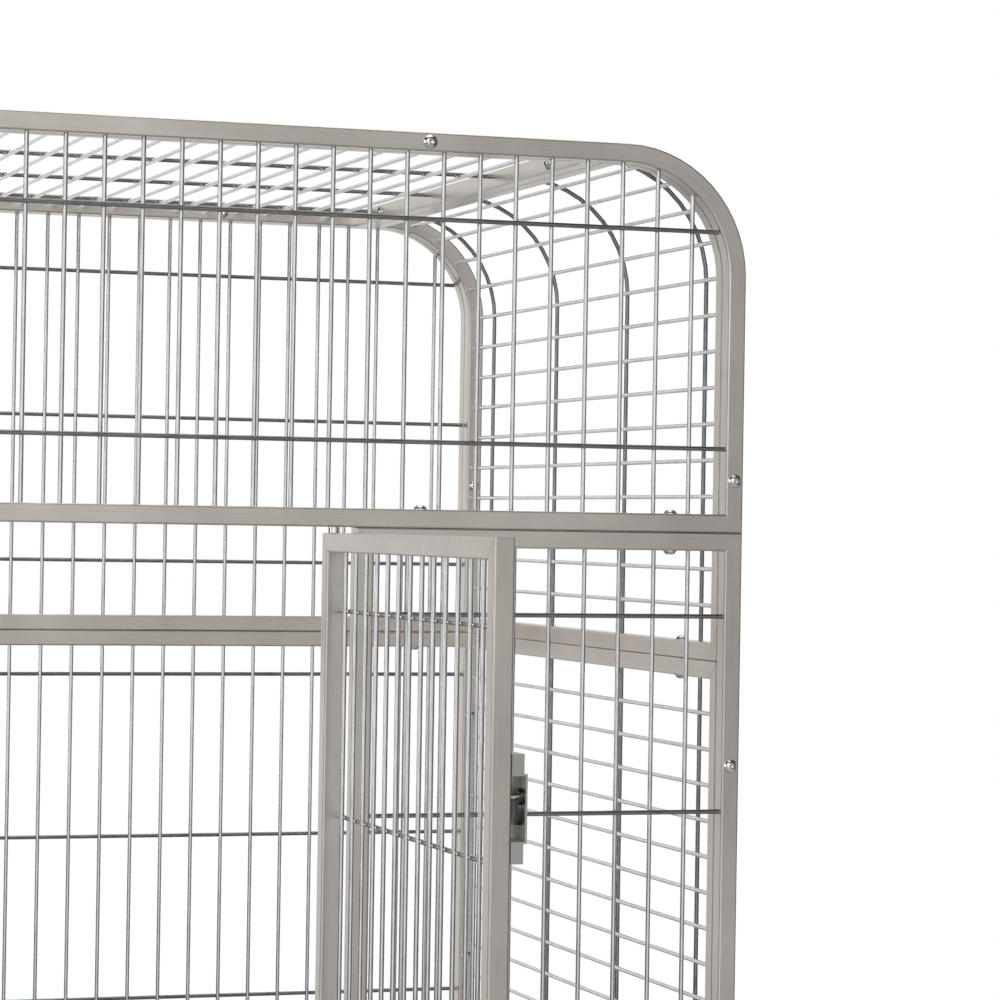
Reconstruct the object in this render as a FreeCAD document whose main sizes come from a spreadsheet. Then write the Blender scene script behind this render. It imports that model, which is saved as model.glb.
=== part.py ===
"""Large stainless bird cage on a wheeled stand, as a parametric FreeCAD document.

Millimetres. +Z is up and z = 0 is the floor. The front of the cage faces -Y and x = 0 is its
middle. The main door hangs open at a right angle, which is the rest pose of every joint.
Panels are welded grids of round bars in frames of mitred square tube, bolted to each other.
"""
import FreeCAD
import Part
import Sketcher
import math
import os
import re
from FreeCAD import Placement, Rotation, Vector

# ---------------------------------------------------------------- driving dimensions
DRIVING = [
    ("cage_width", 1170, "outside width"),
    ("cage_depth", 760, "outside depth, front face to back face"),
    ("stand_height", 460, "floor to the underside of the cage"),
    ("slot_height", 59, "slot for grille and tray, under the front panel"),
    ("front_lower_height", 656, "front panel with the door"),
    ("front_upper_height", 335, "fixed front panel over the door, arched"),
    ("side_lower_height", 602, "flat side panels and lower back panel"),
    ("corner_radius", 112, "outside radius of the roof's round edges"),
    ("hip_reach", 128, "how far a curved side panel reaches over the roof"),
    ("tube_side", 16, "square tube of the panels"),
    ("tube_wall", 1.2, "its wall"),
    ("tube_round", 1.6, "its outside corner radius"),
    ("bar_pitch", 32.5, "wanted spacing of the bars, centre to centre"),
    ("door_pitch", 30.5, "wanted spacing of the door's bars"),
    ("bar_thick", 4, "round bars and cross wires"),
    ("weld_sink", 0.4, "how deep a cross wire is welded into the bars"),
    ("wire_inset", 57, "frame to first cross wire, front and upper back"),
    ("low_wire_inset", 30, "frame to first cross wire, lower back"),
    ("depth_inset", 50, "frame to first cross wire, sides and roof"),
    ("door_opening", 468, "clear width between the door jambs"),
    ("hinge_gap", 9, "door to hinge jamb"),
    ("latch_gap", 3, "door to latch jamb"),
    ("door_top_gap", 5, "door to the rail over it"),
    ("door_low_gap", 5.5, "door to the sill under it"),
    ("door_wire_top", 49, "door frame to its first cross wire, at the top"),
    ("door_wire_low", 35, "door frame to its last cross wire, at the bottom"),
    ("pin_radius", 3, "door hinge pins"),
    ("pin_reach", 24, "length of a hinge pin below its rail"),
    ("bush_radius", 5, "door hinge bushes, outside"),
    ("hinge_play", 0.05, "radial running clearance of every pin and shaft"),
    ("end_play", 0.3, "gap between faces that slide or turn past each other"),
    ("latch_high", 435.5, "upper latch above the underside of the door"),
    ("latch_low", 180.5, "lower latch above the underside of the door"),
    ("latch_length", 28, "latch housing along the door's width"),
    ("latch_middle", 50, "height of the raised part of a latch housing"),
    ("latch_full", 79, "height of a latch housing with its end blocks"),
    ("latch_proud", 12, "how far the raised part stands off the door"),
    ("latch_ends", 9.4, "how far the end blocks stand off the door"),
    ("latch_sheet", 1.5, "sheet of the latch housing"),
    ("tongue_reach", 24, "pivot to tip of a latch tongue"),
    ("latch_pin", 2, "radius of a latch tongue's pin"),
    ("pin_inset", 10, "latch pin in from the free edge"),
    ("pin_rise", 8, "latch pin above the middle of its housing"),
    ("keeper_height", 22, "height of a keeper's lip"),
    ("keeper_web", 6, "height of the web that holds a keeper"),
    ("keeper_clear", 1, "keeper in front of the closed latch"),
    ("stop_height", 20, "height of a door stop"),
    ("stop_thick", 2, "thickness of a door stop"),
    ("stop_lap", 8, "how far a stop reaches behind the closed door"),
    ("stop_inset", 60, "stops from the ends of the door"),
    ("tongue_wide", 6, "width of a latch tongue"),
    ("tongue_thick", 3, "thickness of a latch tongue"),
    ("bolt_radius", 2.5, "shank of the panel bolts"),
    ("bolt_play", 0.3, "clearance of a bolt in its hole"),
    ("dome_radius", 6, "domed heads and nuts"),
    ("dome_height", 3.5, "height of a dome"),
    ("post_rise", 45, "upper post bolts above the front seam"),
    ("seam_spread", 262, "bolts of the side seams from the middle of the depth"),
    ("runner_leg", 14, "legs of the tray and grille runners"),
    ("sheet", 1.5, "sheet of runners, tray and shelf"),
    ("slide_gap", 1, "side clearance of tray and grille in their runners"),
    ("tray_height", 26, "height of the tray's walls"),
    ("tray_front", 29, "height of the tray's front plate"),
    ("plate_inset", 2, "tray's front plate in from the sides"),
    ("tray_rise", 1, "tray runner above the underside of the cage"),
    ("grille_rise", 34, "grille runner above the underside of the cage"),
    ("back_gap", 4, "tray and grille to the back panel"),
    ("pull_length", 240, "length of the tray pull"),
    ("pull_radius", 4, "rod of the pulls"),
    ("pull_reach", 26, "how far a pull stands off"),
    ("leg_side", 25, "square tube of the stand"),
    ("leg_wall", 1.5, "its wall"),
    ("leg_round", 2.5, "its outside corner radius"),
    ("shelf_z", 165, "top of the shelf's rails above the floor"),
    ("shelf_lip", 12, "turned-down lip of the shelf"),
    ("castor_height", 100, "floor to the foot of a leg"),
    ("wheel_radius", 37.5, "castor wheels"),
    ("wheel_width", 25, "width of a castor tyre"),
    ("hub_radius", 26, "wheel centre, under the tyre"),
    ("axle_radius", 4, "castor axles"),
    ("trail", 28, "castor axle behind its swivel"),
    ("fork_plate", 3, "thickness of the fork cheeks"),
    ("crown_height", 8, "thickness of the fork crown"),
    ("crown_radius", 23, "radius of the fork crown"),
    ("stem_radius", 5.5, "castor stems"),
    ("stem_gap", 2, "fork crown to the foot of a leg"),
    ("stem_head", 2.5, "thickness of a stem's head under the crown"),
    ("plug_height", 30, "plug of a castor in its leg"),
    ("plug_play", 0.5, "that plug to the wall of the leg"),
    ("cap_thick", 1.5, "plate under a leg"),
    ("fork_clear", 3, "tyre to the cheeks of its fork"),
    ("eye_radius", 10, "eye of a fork cheek round its axle"),
    ("bridge_thick", 3, "plate that joins the cheeks"),
    ("axle_proud", 2, "axle end outside its cheek"),
    ("feeder_first", 1, "bar of the fixed front panel beside the feeder door"),
    ("feeder_span", 6, "spaces between bars that a feeder door covers"),
    ("feeder_rod", 2.5, "radius of the feeder door's rim"),
    ("feeder_gap", 1.5, "feeder door to the bars and wires around it"),
    ("bowl_radius", 62, "feeding bowls, outside"),
    ("bowl_height", 52, "height of a bowl"),
    ("bowl_wall", 1.2, "sheet of a bowl"),
    ("bowl_drop", 28, "bowl ring below the middle of the feeder door"),
    ("bowl_behind", 6, "bowl to the feeder door"),
    ("bowl_foot", 2, "how far a bowl stands over its ring"),
    ("bowl_rim", 4, "how far a bowl's rim reaches over its ring"),
    ("arm_radius", 1.6, "rods that carry the bowl ring"),
    ("arm_spread", 46, "those rods from the middle of the bowl"),
    ("loop_height", 10, "hinge loops of a feeder door"),
    ("loop_inset", 10, "those loops from the door's ends"),
    ("lug_thick", 3, "lug between a loop and its door"),
]
DERIVED = [
    ("half_width", "=cage_width / 2"),
    ("half_depth", "=cage_depth / 2"),
    ("inner_width", "=cage_width - 2 * tube_side"),
    ("side_length", "=cage_depth - 2 * tube_side"),
    ("base_z", "=stand_height"),
    ("front_base_z", "=base_z + slot_height"),
    ("front_seam_z", "=front_base_z + front_lower_height"),
    ("roof_z", "=front_seam_z + front_upper_height"),
    ("side_seam_z", "=base_z + side_lower_height"),
    ("hip_height", "=roof_z - side_seam_z"),
    ("front_y", "=tube_side / 2 - half_depth"),
    ("back_y", "=half_depth - tube_side / 2"),
    ("side_x", "=half_width - tube_side / 2"),
    ("bend_inner", "=corner_radius - tube_side"),
    ("bend_middle", "=corner_radius - tube_side / 2"),
    ("bend_x", "=half_width - corner_radius"),
    ("bend_z", "=roof_z - corner_radius"),
    ("roof_mid_z", "=roof_z - tube_side / 2"),
    ("roof_width", "=cage_width - 2 * hip_reach"),
    ("bar_radius", "=bar_thick / 2"),
    ("weld_offset", "=bar_thick - weld_sink"),
    ("fixed_width", "=half_width - door_opening / 2"),
    ("fixed_inner", "=fixed_width - 2 * tube_side"),
    ("front_inner", "=front_lower_height - 2 * tube_side"),
    ("door_width", "=door_opening - hinge_gap - latch_gap"),
    ("door_height", "=front_lower_height - tube_side - door_low_gap - door_top_gap"),
    ("door_z", "=front_base_z + tube_side + door_low_gap"),
    ("pivot_x", "=door_opening / 2 - hinge_gap - tube_side / 2"),
    ("free_edge", "=door_width - tube_side / 2"),
    ("hole_radius", "=bolt_radius + bolt_play"),
    ("grille_z", "=base_z + grille_rise"),
    ("tray_runner_z", "=base_z + tray_rise"),
    ("slide_half", "=half_width - tube_side - sheet - slide_gap"),
    ("leg_x", "=half_width - leg_side / 2"),
    ("leg_y", "=half_depth - leg_side / 2"),
    ("ring_z", "=base_z - leg_side"),
    ("crown_z", "=castor_height - crown_height - stem_gap"),
    ("feeder_wire_gap", "=(front_inner - 2 * wire_inset) / 3"),
    ("feeder_z", "=front_base_z + tube_side + wire_inset + feeder_wire_gap / 2"),
    ("feeder_high", "=feeder_wire_gap - bar_thick - 2 * feeder_gap"),
    ("fork_half", "=wheel_width / 2 + fork_clear"),
    ("loop_reach", "=bar_thick + feeder_gap + feeder_rod"),
]
ALIASES = {row[0] for row in DRIVING + DERIVED}

doc = FreeCAD.newDocument("bird_cage")
sheet = doc.addObject("Spreadsheet::Sheet", "Sizes")
for row, (alias, value, note) in enumerate(DRIVING, 1):
    sheet.set(f"A{row}", note)
    sheet.set(f"B{row}", str(value))
    sheet.setAlias(f"B{row}", alias)
for row, (alias, formula) in enumerate(DERIVED, len(DRIVING) + 1):
    sheet.set(f"A{row}", alias.replace("_", " "))
    sheet.set(f"B{row}", formula)
    sheet.setAlias(f"B{row}", alias)
doc.recompute()

UP, TURN_Y, TURN_X = Vector(0, 0, 1), Vector(0, 1, 0), Vector(1, 0, 0)
ALONG = {"x": Rotation(TURN_Y, 90), "y": Rotation(TURN_X, -90), "z": Rotation()}
# a panel's own width and height run along these axes; its third axis is across the panel
PLANES = {
    "xz": ("x", "z", "y", Rotation()),
    "yz": ("y", "z", "x", Rotation(UP, 90)),
    "xy": ("x", "y", "z", Rotation(TURN_X, -90)),
}
nodes = {}
OVERCUT = 1  # how far a cutting tool starts before the face that it cuts, and ends past it


def size(alias):
    """The value of one cell of the sheet."""
    return float(sheet.get(alias))


def scoped(formula):
    """A formula over the sheet's aliases, as FreeCAD wants it."""
    return re.sub(r"[a-z_]+", lambda m: "Sizes." + m[0] if m[0] in ALIASES else m[0], formula)


def bind(thing, **formulas):
    for name, formula in formulas.items():
        thing.setExpression(name, scoped(formula))
    return thing


def place(thing, at=("0", "0", "0"), turn=None):
    """Put a thing at three formulas, with a fixed turn."""
    if turn is not None:
        thing.Placement = Placement(Vector(), turn)
    for axis, formula in zip("xyz", at):
        if formula != "0":
            thing.setExpression("Placement.Base." + axis, scoped(formula))
    return thing


def node(name, thing):
    """Register a finished piece under the name that its file gets."""
    thing.Label = name
    nodes[name] = thing
    return thing


# ---------------------------------------------------------------- small shapes
def box(name, wide, deep, high, at, turn=None):
    thing = bind(doc.addObject("Part::Box", name), Length=wide, Width=deep, Height=high)
    return place(thing, at, turn)


def rod(name, radius, length, at, along="z"):
    thing = bind(doc.addObject("Part::Cylinder", name), Radius=radius, Height=length)
    return place(thing, at, ALONG[along])


def group(name, pieces):
    """Separate solids that share a node."""
    thing = doc.addObject("Part::Compound", name)
    thing.Links = pieces
    return thing


def fuse(name, pieces):
    """One welded solid."""
    thing = doc.addObject("Part::MultiFuse", name)
    thing.Shapes = pieces
    return thing


def cut(name, base, tools):
    thing = doc.addObject("Part::Cut", name)
    thing.Base = base
    thing.Tool = tools[0] if len(tools) == 1 else group(name + "_tools", tools)
    return thing


def ring(name, outer, inner, high, at, along="z"):
    """A short round tube."""
    return cut(name, rod(name + "_out", outer, high, at, along), [rod(name + "_in", inner, high, at, along)])


def mirrored(name, source):
    """The same piece on the left-hand side."""
    thing = doc.addObject("Part::Mirroring", name)
    thing.Source = source
    thing.Normal = TURN_X
    return thing


# ---------------------------------------------------------------- square tube
def own_plane(body, role):
    return next(feature for feature in body.Origin.OriginFeatures if feature.Role == role)


def sketch_on(body, role, suffix):
    sketch = body.newObject("Sketcher::SketchObject", body.Name + suffix)
    sketch.AttachmentSupport = (own_plane(body, role), [""])
    sketch.MapMode = "FlatFace"
    return sketch


def line(x1, y1, x2, y2):
    return Part.LineSegment(Vector(x1, y1, 0), Vector(x2, y2, 0))


def arc(x, y, radius, start, end):
    circle = Part.Circle(Vector(x, y, 0), UP, radius)
    return Part.ArcOfCircle(circle, math.radians(start), math.radians(end))


def driven(sketch, name, formula, *constraint):
    """A named dimension that follows the sheet."""
    index = sketch.addConstraint(Sketcher.Constraint(*constraint))
    sketch.renameConstraint(index, name)
    sketch.setExpression("Constraints." + name, scoped(formula))


def rounded_square(sketch, name, side, curve):
    """A square loop with round corners about the sketch's origin; side and curve are formulas."""
    first = sketch.GeometryCount
    h, r = 8.0, 1.0
    c = h - r
    sketch.addGeometry([line(-c, -h, c, -h), line(h, -c, h, c)], False)
    sketch.addGeometry([line(c, h, -c, h), line(-h, c, -h, -c)], False)
    sketch.addGeometry([arc(c, -c, r, -90, 0), arc(c, c, r, 0, 90)], False)
    sketch.addGeometry([arc(-c, c, r, 90, 180), arc(-c, -c, r, 180, 270)], False)
    for edge in range(4):
        corner, after = first + 4 + edge, first + (edge + 1) % 4
        sketch.addConstraint(Sketcher.Constraint("Tangent", first + edge, 2, corner, 1))
        sketch.addConstraint(Sketcher.Constraint("Tangent", corner, 2, after, 1))
        sketch.addConstraint(Sketcher.Constraint("Vertical" if edge % 2 else "Horizontal", first + edge))
        if edge:
            sketch.addConstraint(Sketcher.Constraint("Equal", first + 4, corner))
    sketch.addConstraint(Sketcher.Constraint("Symmetric", first + 4, 3, first + 6, 3, -1, 1))
    driven(sketch, name + "_curve", curve, "Radius", first + 4, r)
    driven(sketch, name + "_wide", side, "DistanceX", first + 3, 1, first + 1, 1, 2 * h)
    driven(sketch, name + "_high", side, "DistanceY", first, 1, first + 2, 1, 2 * h)


def tube_section(body, role, kind):
    """The wall of a square tube, centred on the body's axis."""
    sketch = sketch_on(body, role, "_section")
    rounded_square(sketch, "outer", kind + "_side", kind + "_round")
    rounded_square(sketch, "inner", f"{kind}_side - 2 * {kind}_wall", f"{kind}_round - {kind}_wall")
    return sketch


def mitre(body, kind, base_x, base_z):
    """Take away the corner of a tube along a plane at 45 degrees."""
    wedge = body.newObject("PartDesign::SubtractiveBox", body.Name + "_mitre")
    place(wedge, (base_x, f"-{kind}_side", base_z), Rotation(TURN_Y, -45))
    reach = f"2 * {kind}_side"
    bind(wedge, Length=reach, Width=reach, Height=reach)


def tube(name, length, at, turn=None, mitres=(True, True), kind="tube"):
    """Straight tube along its own +X; mitred ends are shorter on its +Z side."""
    body = doc.addObject("PartDesign::Body", name)
    pad = body.newObject("PartDesign::Pad", name + "_pad")
    pad.Profile = tube_section(body, "YZ_Plane", kind)
    bind(pad, Length=length)
    for wanted, end in zip(mitres, ("0", length)):
        if wanted:
            mitre(body, kind, end, f"-{kind}_side / 2")
    return place(body, at, turn)


def bent_path(body, rise, across, both):
    """Spine from the origin up, round a bend and across; with both, down again on the far side."""
    sketch = sketch_on(body, "XZ_Plane", "_path")
    r = size("bend_middle")
    up, wide = r + 100.0, 2 * r + 200.0
    sketch.addGeometry([line(0, 0, 0, up - r), arc(r, up - r, r, 90, 180), line(r, up, wide - r, up)], False)
    sketch.addConstraint(Sketcher.Constraint("Coincident", 0, 1, -1, 1))
    sketch.addConstraint(Sketcher.Constraint("Vertical", 0))
    sketch.addConstraint(Sketcher.Constraint("Tangent", 0, 2, 1, 2))
    sketch.addConstraint(Sketcher.Constraint("Tangent", 1, 1, 2, 1))
    sketch.addConstraint(Sketcher.Constraint("Horizontal", 2))
    driven(sketch, "bend", "bend_middle", "Radius", 1, r)
    driven(sketch, "rise", rise, "DistanceY", -1, 1, 2, 1, up)
    if both:
        sketch.addGeometry([arc(wide - r, up - r, r, 0, 90), line(wide, up - r, wide, 0)], False)
        sketch.addConstraint(Sketcher.Constraint("Tangent", 2, 2, 3, 2))
        sketch.addConstraint(Sketcher.Constraint("Tangent", 3, 1, 4, 1))
        sketch.addConstraint(Sketcher.Constraint("Vertical", 4))
        sketch.addConstraint(Sketcher.Constraint("Equal", 1, 3))
        sketch.addConstraint(Sketcher.Constraint("PointOnObject", 4, 2, -1))
        driven(sketch, "across", across, "DistanceX", 0, 1, 4, 2, wide)
    else:
        driven(sketch, "across", across, "DistanceX", 0, 1, 2, 2, wide - r)
    return sketch


def bent_tube(name, rise, across, at, both, turn=None):
    """Square tube bent round the roof's corners."""
    body = doc.addObject("PartDesign::Body", name)
    pipe = body.newObject("PartDesign::AdditivePipe", name + "_pipe")
    pipe.Profile = tube_section(body, "XY_Plane", "tube")
    path = bent_path(body, rise, across, both)
    pipe.Spine = (path, [f"Edge{edge + 1}" for edge in range(path.GeometryCount)])
    if both:
        mitre(body, "tube", "(sqrt(2) - 0.5) * tube_side", "-sqrt(2) * tube_side")
        mitre(body, "tube", f"{across} + (0.5 - sqrt(2)) * tube_side", "-sqrt(2) * tube_side")
    return place(body, at, turn)


# ---------------------------------------------------------------- panels
def in_plane(plane, origin, u, v, across="0"):
    """Origin moved by u and v along a panel's own axes, and by across through it."""
    moved = dict(zip("xyz", origin))
    for axis, step in zip(PLANES[plane][:3], (u, v, across)):
        if step != "0":
            moved[axis] = f"{moved[axis]} + {step}"
    return tuple(moved[axis] for axis in "xyz")


def upright(plane, angle):
    return PLANES[plane][3].multiply(Rotation(TURN_Y, angle))


def panel_frame(name, plane, origin, wide, high, kind="tube"):
    """Four mitred tubes; origin is the outside corner at the low end of both axes."""
    half = f"{kind}_side / 2"
    return [
        tube(name + "_low", wide, in_plane(plane, origin, "0", half), upright(plane, 0), kind=kind),
        tube(name + "_top", wide, in_plane(plane, origin, wide, f"{high} - {half}"), upright(plane, 180),
             kind=kind),
        tube(name + "_left", high, in_plane(plane, origin, half, high), upright(plane, 90), kind=kind),
        tube(name + "_right", high, in_plane(plane, origin, f"{wide} - {half}", "0"), upright(plane, -90),
             kind=kind),
    ]


def spaces(length, pitch="bar_pitch"):
    """How many equal spaces near the wanted pitch fit in a length."""
    return max(2, round(length / size(pitch)))


def bars(name, plane, origin, wide, high, count, along_v=True, low="0", end=None, only=None):
    """Evenly spaced bars; end gives where each one stops, and only says which ones are made."""
    axis = PLANES[plane][1 if along_v else 0]
    made = []
    for k in only or range(1, count):
        step = f"({wide if along_v else high}) * {k} / {count}"
        top = end(k, step) if end else (high if along_v else wide)
        u, v = (step, low) if along_v else (low, step)
        made.append(rod(f"{name}_{k}", "bar_radius", f"{top} - ({low})",
                        in_plane(plane, origin, u, v), axis))
    return made


def wires(name, plane, origin, wide, high, count, first, last, out, along_v=False, trim=None):
    """Cross wires welded on the outside of the bars, evenly spaced between two insets."""
    axis = PLANES[plane][1 if along_v else 0]
    span = wide if along_v else high
    made = []
    for k in range(count):
        step = f"{first} + ({span} - {first} - {last}) * {k} / {count - 1}"
        cut_back = trim(k, step) if trim else "0"
        u, v = (step, cut_back) if along_v else (cut_back, step)
        made.append(rod(f"{name}_wire_{k}", "bar_radius", f"{high if along_v else wide} - 2 * ({cut_back})",
                        in_plane(plane, origin, u, v, f"{out} * weld_offset"), axis))
    return made


def grid(name, plane, origin, wide, high, count, wire_count, first, last, out, along_v=True):
    """A flat welded grid of bars and cross wires."""
    made = bars(name, plane, origin, wide, high, count, along_v)
    made += wires(name, plane, origin, wide, high, wire_count, first, last, out, not along_v)
    return fuse(name, made)


def under_bend(step):
    """How much the arch takes off the end of a bar at this distance from the side."""
    return f"(bend_inner - sqrt(bend_inner ^ 2 - (bend_inner + bar_radius - ({step})) ^ 2))"


def arched_grid(name, y, base_z, high, wire_count, out):
    """The grid of an upper front or back panel, whose outer bars stop under the arch."""
    origin = ("tube_side - half_width", y, base_z + " + tube_side")
    inner = f"({high} - 2 * tube_side)"
    width, bend, radius = size("inner_width"), size("bend_inner"), size("bar_radius")
    count = spaces(width)
    tall = size("roof_z") - 2 * size("tube_side") - size(base_z)

    def bar_end(k, step):
        near = min(k, count - k)
        if near * width / count - radius < bend:
            return f"{inner} - {under_bend(f'inner_width * {near} / {count}')}"
        return inner

    def wire_trim(k, step):
        depth = size("wire_inset") + (tall - 2 * size("wire_inset")) * (wire_count - 1 - k) / (wire_count - 1)
        return under_bend(f"{inner} - ({step})") if depth - radius < bend else "0"

    made = bars(name, "xz", origin, "inner_width", inner, count, end=bar_end)
    made += wires(name, "xz", origin, "inner_width", inner, wire_count, "wire_inset", "wire_inset", out,
                  trim=wire_trim)
    return fuse(name, made)


# ---------------------------------------------------------------- bolts
def dome(name, at, towards):
    """A domed head; towards is the way it bulges, such as +x or -z."""
    axis, sign = towards[1], towards[0]
    thing = doc.addObject("Part::Sphere", name)
    ball = "((dome_radius ^ 2 + dome_height ^ 2) / (2 * dome_height))"
    bind(thing, Radius=ball, Angle1=f"asin(1 - dome_height / {ball})")
    turn = ALONG[axis] if sign == "+" else ALONG[axis].multiply(Rotation(TURN_X, 180))
    spot = dict(zip("xyz", at))
    spot[axis] += f" {'-' if sign == '+' else '+'} ({ball} - dome_height)"
    return place(thing, tuple(spot[a] for a in "xyz"), turn)


def bolt(name, at, axis, length):
    """A bolt with a domed head at each end of its grip, which starts at the given place."""
    far = dict(zip("xyz", at))
    far[axis] += f" + {length}"
    far = tuple(far[a] for a in "xyz")
    pieces = [rod(name + "_shank", "bolt_radius", length, at, axis)]
    pieces += [dome(name + "_head", at, "-" + axis), dome(name + "_nut", far, "+" + axis)]
    return fuse(name, pieces)


def bolt_hole(name, at, axis, length):
    """The clearance hole of a bolt, a little longer than its grip."""
    start = dict(zip("xyz", at))
    start[axis] += f" - {OVERCUT}"
    return rod(name, "hole_radius", f"{length} + 2 * {OVERCUT}", tuple(start[a] for a in "xyz"), axis)


def between_bars(width, count, index):
    """Half way between two bars, this many spaces from the middle of a grid."""
    return f"({width}) * {index if count % 2 else index + 0.5} / {count}"


GRIP = "2 * tube_side"
FRONT_SPACES = spaces(size("inner_width"))
SEAM_NEAR, SEAM_FAR = (between_bars("inner_width", FRONT_SPACES, index) for index in (9, 16))
FRONT_SEAM = [(f"{s} * {x}", "front_y", "front_seam_z - tube_side") for s in (-1, 1)
              for x in (SEAM_NEAR, SEAM_FAR)]
BACK_SEAM = [(f"{s} * {SEAM_FAR}", "back_y", "side_seam_z - tube_side") for s in (-1, 1)]
SIDE_SEAM = [("side_x", f"{s} * seam_spread", "side_seam_z - tube_side") for s in (-1, 1)]
SIDE_INNER = "(side_lower_height - 2 * tube_side)"
SIDE_SPACES = spaces(size("side_lower_height") - 2 * size("tube_side"))
# bolts through the posts pass between two level bars of the side panels
POST_STEPS = (7.5, SIDE_SPACES - 2.35)
POST_LOW = [f"base_z + tube_side + {SIDE_INNER} * {step} / {SIDE_SPACES}" for step in POST_STEPS]
POST_TOP = ["front_seam_z + post_rise"]
ROOF_INNER = "(roof_width - 2 * tube_side)"
ROOF_SPACES = spaces(size("roof_width") - 2 * size("tube_side"))
ROOF_FRONT = between_bars(ROOF_INNER, ROOF_SPACES, 9)
HIP_SEAM = [f"{s} * seam_spread" for s in (-1, 1)]
ROOF_EDGES = (("right", "half_width - hip_reach - tube_side"), ("left", "hip_reach - tube_side - half_width"))
LOW_Y, HIGH_Y = "-half_depth", "half_depth - 2 * tube_side"


def post_bolts(levels, y):
    return [(f"{s} * side_x", y, z) for s in (-1, 1) for z in levels]


def holes(name, spots, axis):
    return [bolt_hole(f"{name}_hole_{i}", spot, axis, GRIP) for i, spot in enumerate(spots)]


# ---------------------------------------------------------------- front and back panels
def front_lower_frame():
    """One welded frame round the door opening and the two fixed grids beside it."""
    half, high, edge = "tube_side / 2", "front_lower_height", "door_opening / 2"
    y, z = "front_y", "front_base_z"
    top = f"{z} + {high}"
    pieces = [
        tube("sill", "cage_width", ("-half_width", y, f"{z} + {half}"), upright("xz", 0)),
        tube("post_right", high, (f"half_width - {half}", y, z), upright("xz", -90)),
        tube("post_left", high, (f"{half} - half_width", y, top), upright("xz", 90)),
        tube("head_right", "fixed_width", ("half_width", y, f"{top} - {half}"), upright("xz", 180)),
        tube("head_left", "fixed_width", (f"-{edge}", y, f"{top} - {half}"), upright("xz", 180)),
        tube("jamb_right", f"{high} - tube_side", (f"{edge} + {half}", y, top), upright("xz", 90),
             mitres=(True, False)),
        tube("jamb_left", f"{high} - tube_side", (f"-{edge} - {half}", y, f"{z} + tube_side"),
             upright("xz", -90), mitres=(False, True)),
    ]
    drilled = holes("front_low", FRONT_SEAM, "z") + holes("front_post", post_bolts(POST_LOW, LOW_Y), "y")
    return cut("front_lower_frame", group("front_lower_tubes", pieces), drilled)


def fixed_bars_right():
    """Bars beside the door; some stop at the feeder opening between two cross wires."""
    origin = ("door_opening / 2 + tube_side", "front_y", "front_base_z + tube_side")
    count = spaces(size("fixed_inner"))
    first = int(size("feeder_first"))
    last = first + int(size("feeder_span"))
    low = "(feeder_z - feeder_wire_gap / 2 - front_base_z - tube_side)"
    top = "(feeder_z + feeder_wire_gap / 2 - front_base_z - tube_side)"
    inside = range(first + 1, last)
    made = bars("fixed", "xz", origin, "fixed_inner", "front_inner", count,
                end=lambda k, step: low if k in inside else "front_inner")
    made += bars("fixed_top", "xz", origin, "fixed_inner", "front_inner", count, low=top, only=inside)
    made += wires("fixed", "xz", origin, "fixed_inner", "front_inner", 4, "wire_inset", "wire_inset", "-1")
    return fuse("right_fixed_bars", made)


def arch(name, y, base_z, high, drilled):
    body = bent_tube(name + "_bend", f"{high} - tube_side / 2", "cage_width - tube_side",
                     ("tube_side / 2 - half_width", y, base_z), True)
    return cut(name, body, drilled)


def upper_rail(name, y, base_z, drilled):
    start = ("-half_width", y, f"{base_z} + tube_side / 2")
    rail = tube(name + "_tube", "cage_width", start, upright("xz", 0))
    return cut(name, rail, drilled)


def front_panels():
    node("front_lower_frame", front_lower_frame())
    right = node("right_fixed_bars", fixed_bars_right())
    node("left_fixed_bars", mirrored("left_fixed_bars", right))
    roof_holes = [(f"{s} * {ROOF_FRONT}", LOW_Y, "roof_mid_z") for s in (-1, 1)]
    arch_holes = holes("front_arch", post_bolts(POST_TOP, LOW_Y) + roof_holes, "y")
    node("front_arch", arch("front_arch", "front_y", "front_seam_z", "front_upper_height", arch_holes))
    node("front_upper_rail", upper_rail("front_upper_rail", "front_y", "front_seam_z",
                                        holes("front_rail", FRONT_SEAM, "z")))
    node("front_upper_bars", arched_grid("front_upper_bars", "front_y", "front_seam_z",
                                         "front_upper_height", 2, "-1"))


def back_panels():
    pieces = panel_frame("back_low", "xz", ("-half_width", "back_y", "base_z"), "cage_width",
                         "side_lower_height")
    drilled = holes("back_low", BACK_SEAM, "z") + holes("back_post", post_bolts(POST_LOW, HIGH_Y), "y")
    node("back_lower_frame", cut("back_lower_frame", group("back_lower_tubes", pieces), drilled))
    inner = ("tube_side - half_width", "back_y", "base_z + tube_side")
    node("back_lower_bars", grid("back_lower_bars", "xz", inner, "inner_width", SIDE_INNER, FRONT_SPACES, 4,
                                 "low_wire_inset", "low_wire_inset", "1"))
    roof_holes = [(f"{s} * {ROOF_FRONT}", HIGH_Y, "roof_mid_z") for s in (-1, 1)]
    arch_holes = holes("back_arch", post_bolts(POST_TOP, HIGH_Y) + roof_holes, "y")
    node("back_arch", arch("back_arch", "back_y", "side_seam_z", "hip_height", arch_holes))
    node("back_upper_rail", upper_rail("back_upper_rail", "back_y", "side_seam_z",
                                       holes("back_rail", BACK_SEAM, "z")))
    node("back_upper_bars", arched_grid("back_upper_bars", "back_y", "side_seam_z", "hip_height", 3, "1"))


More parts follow.
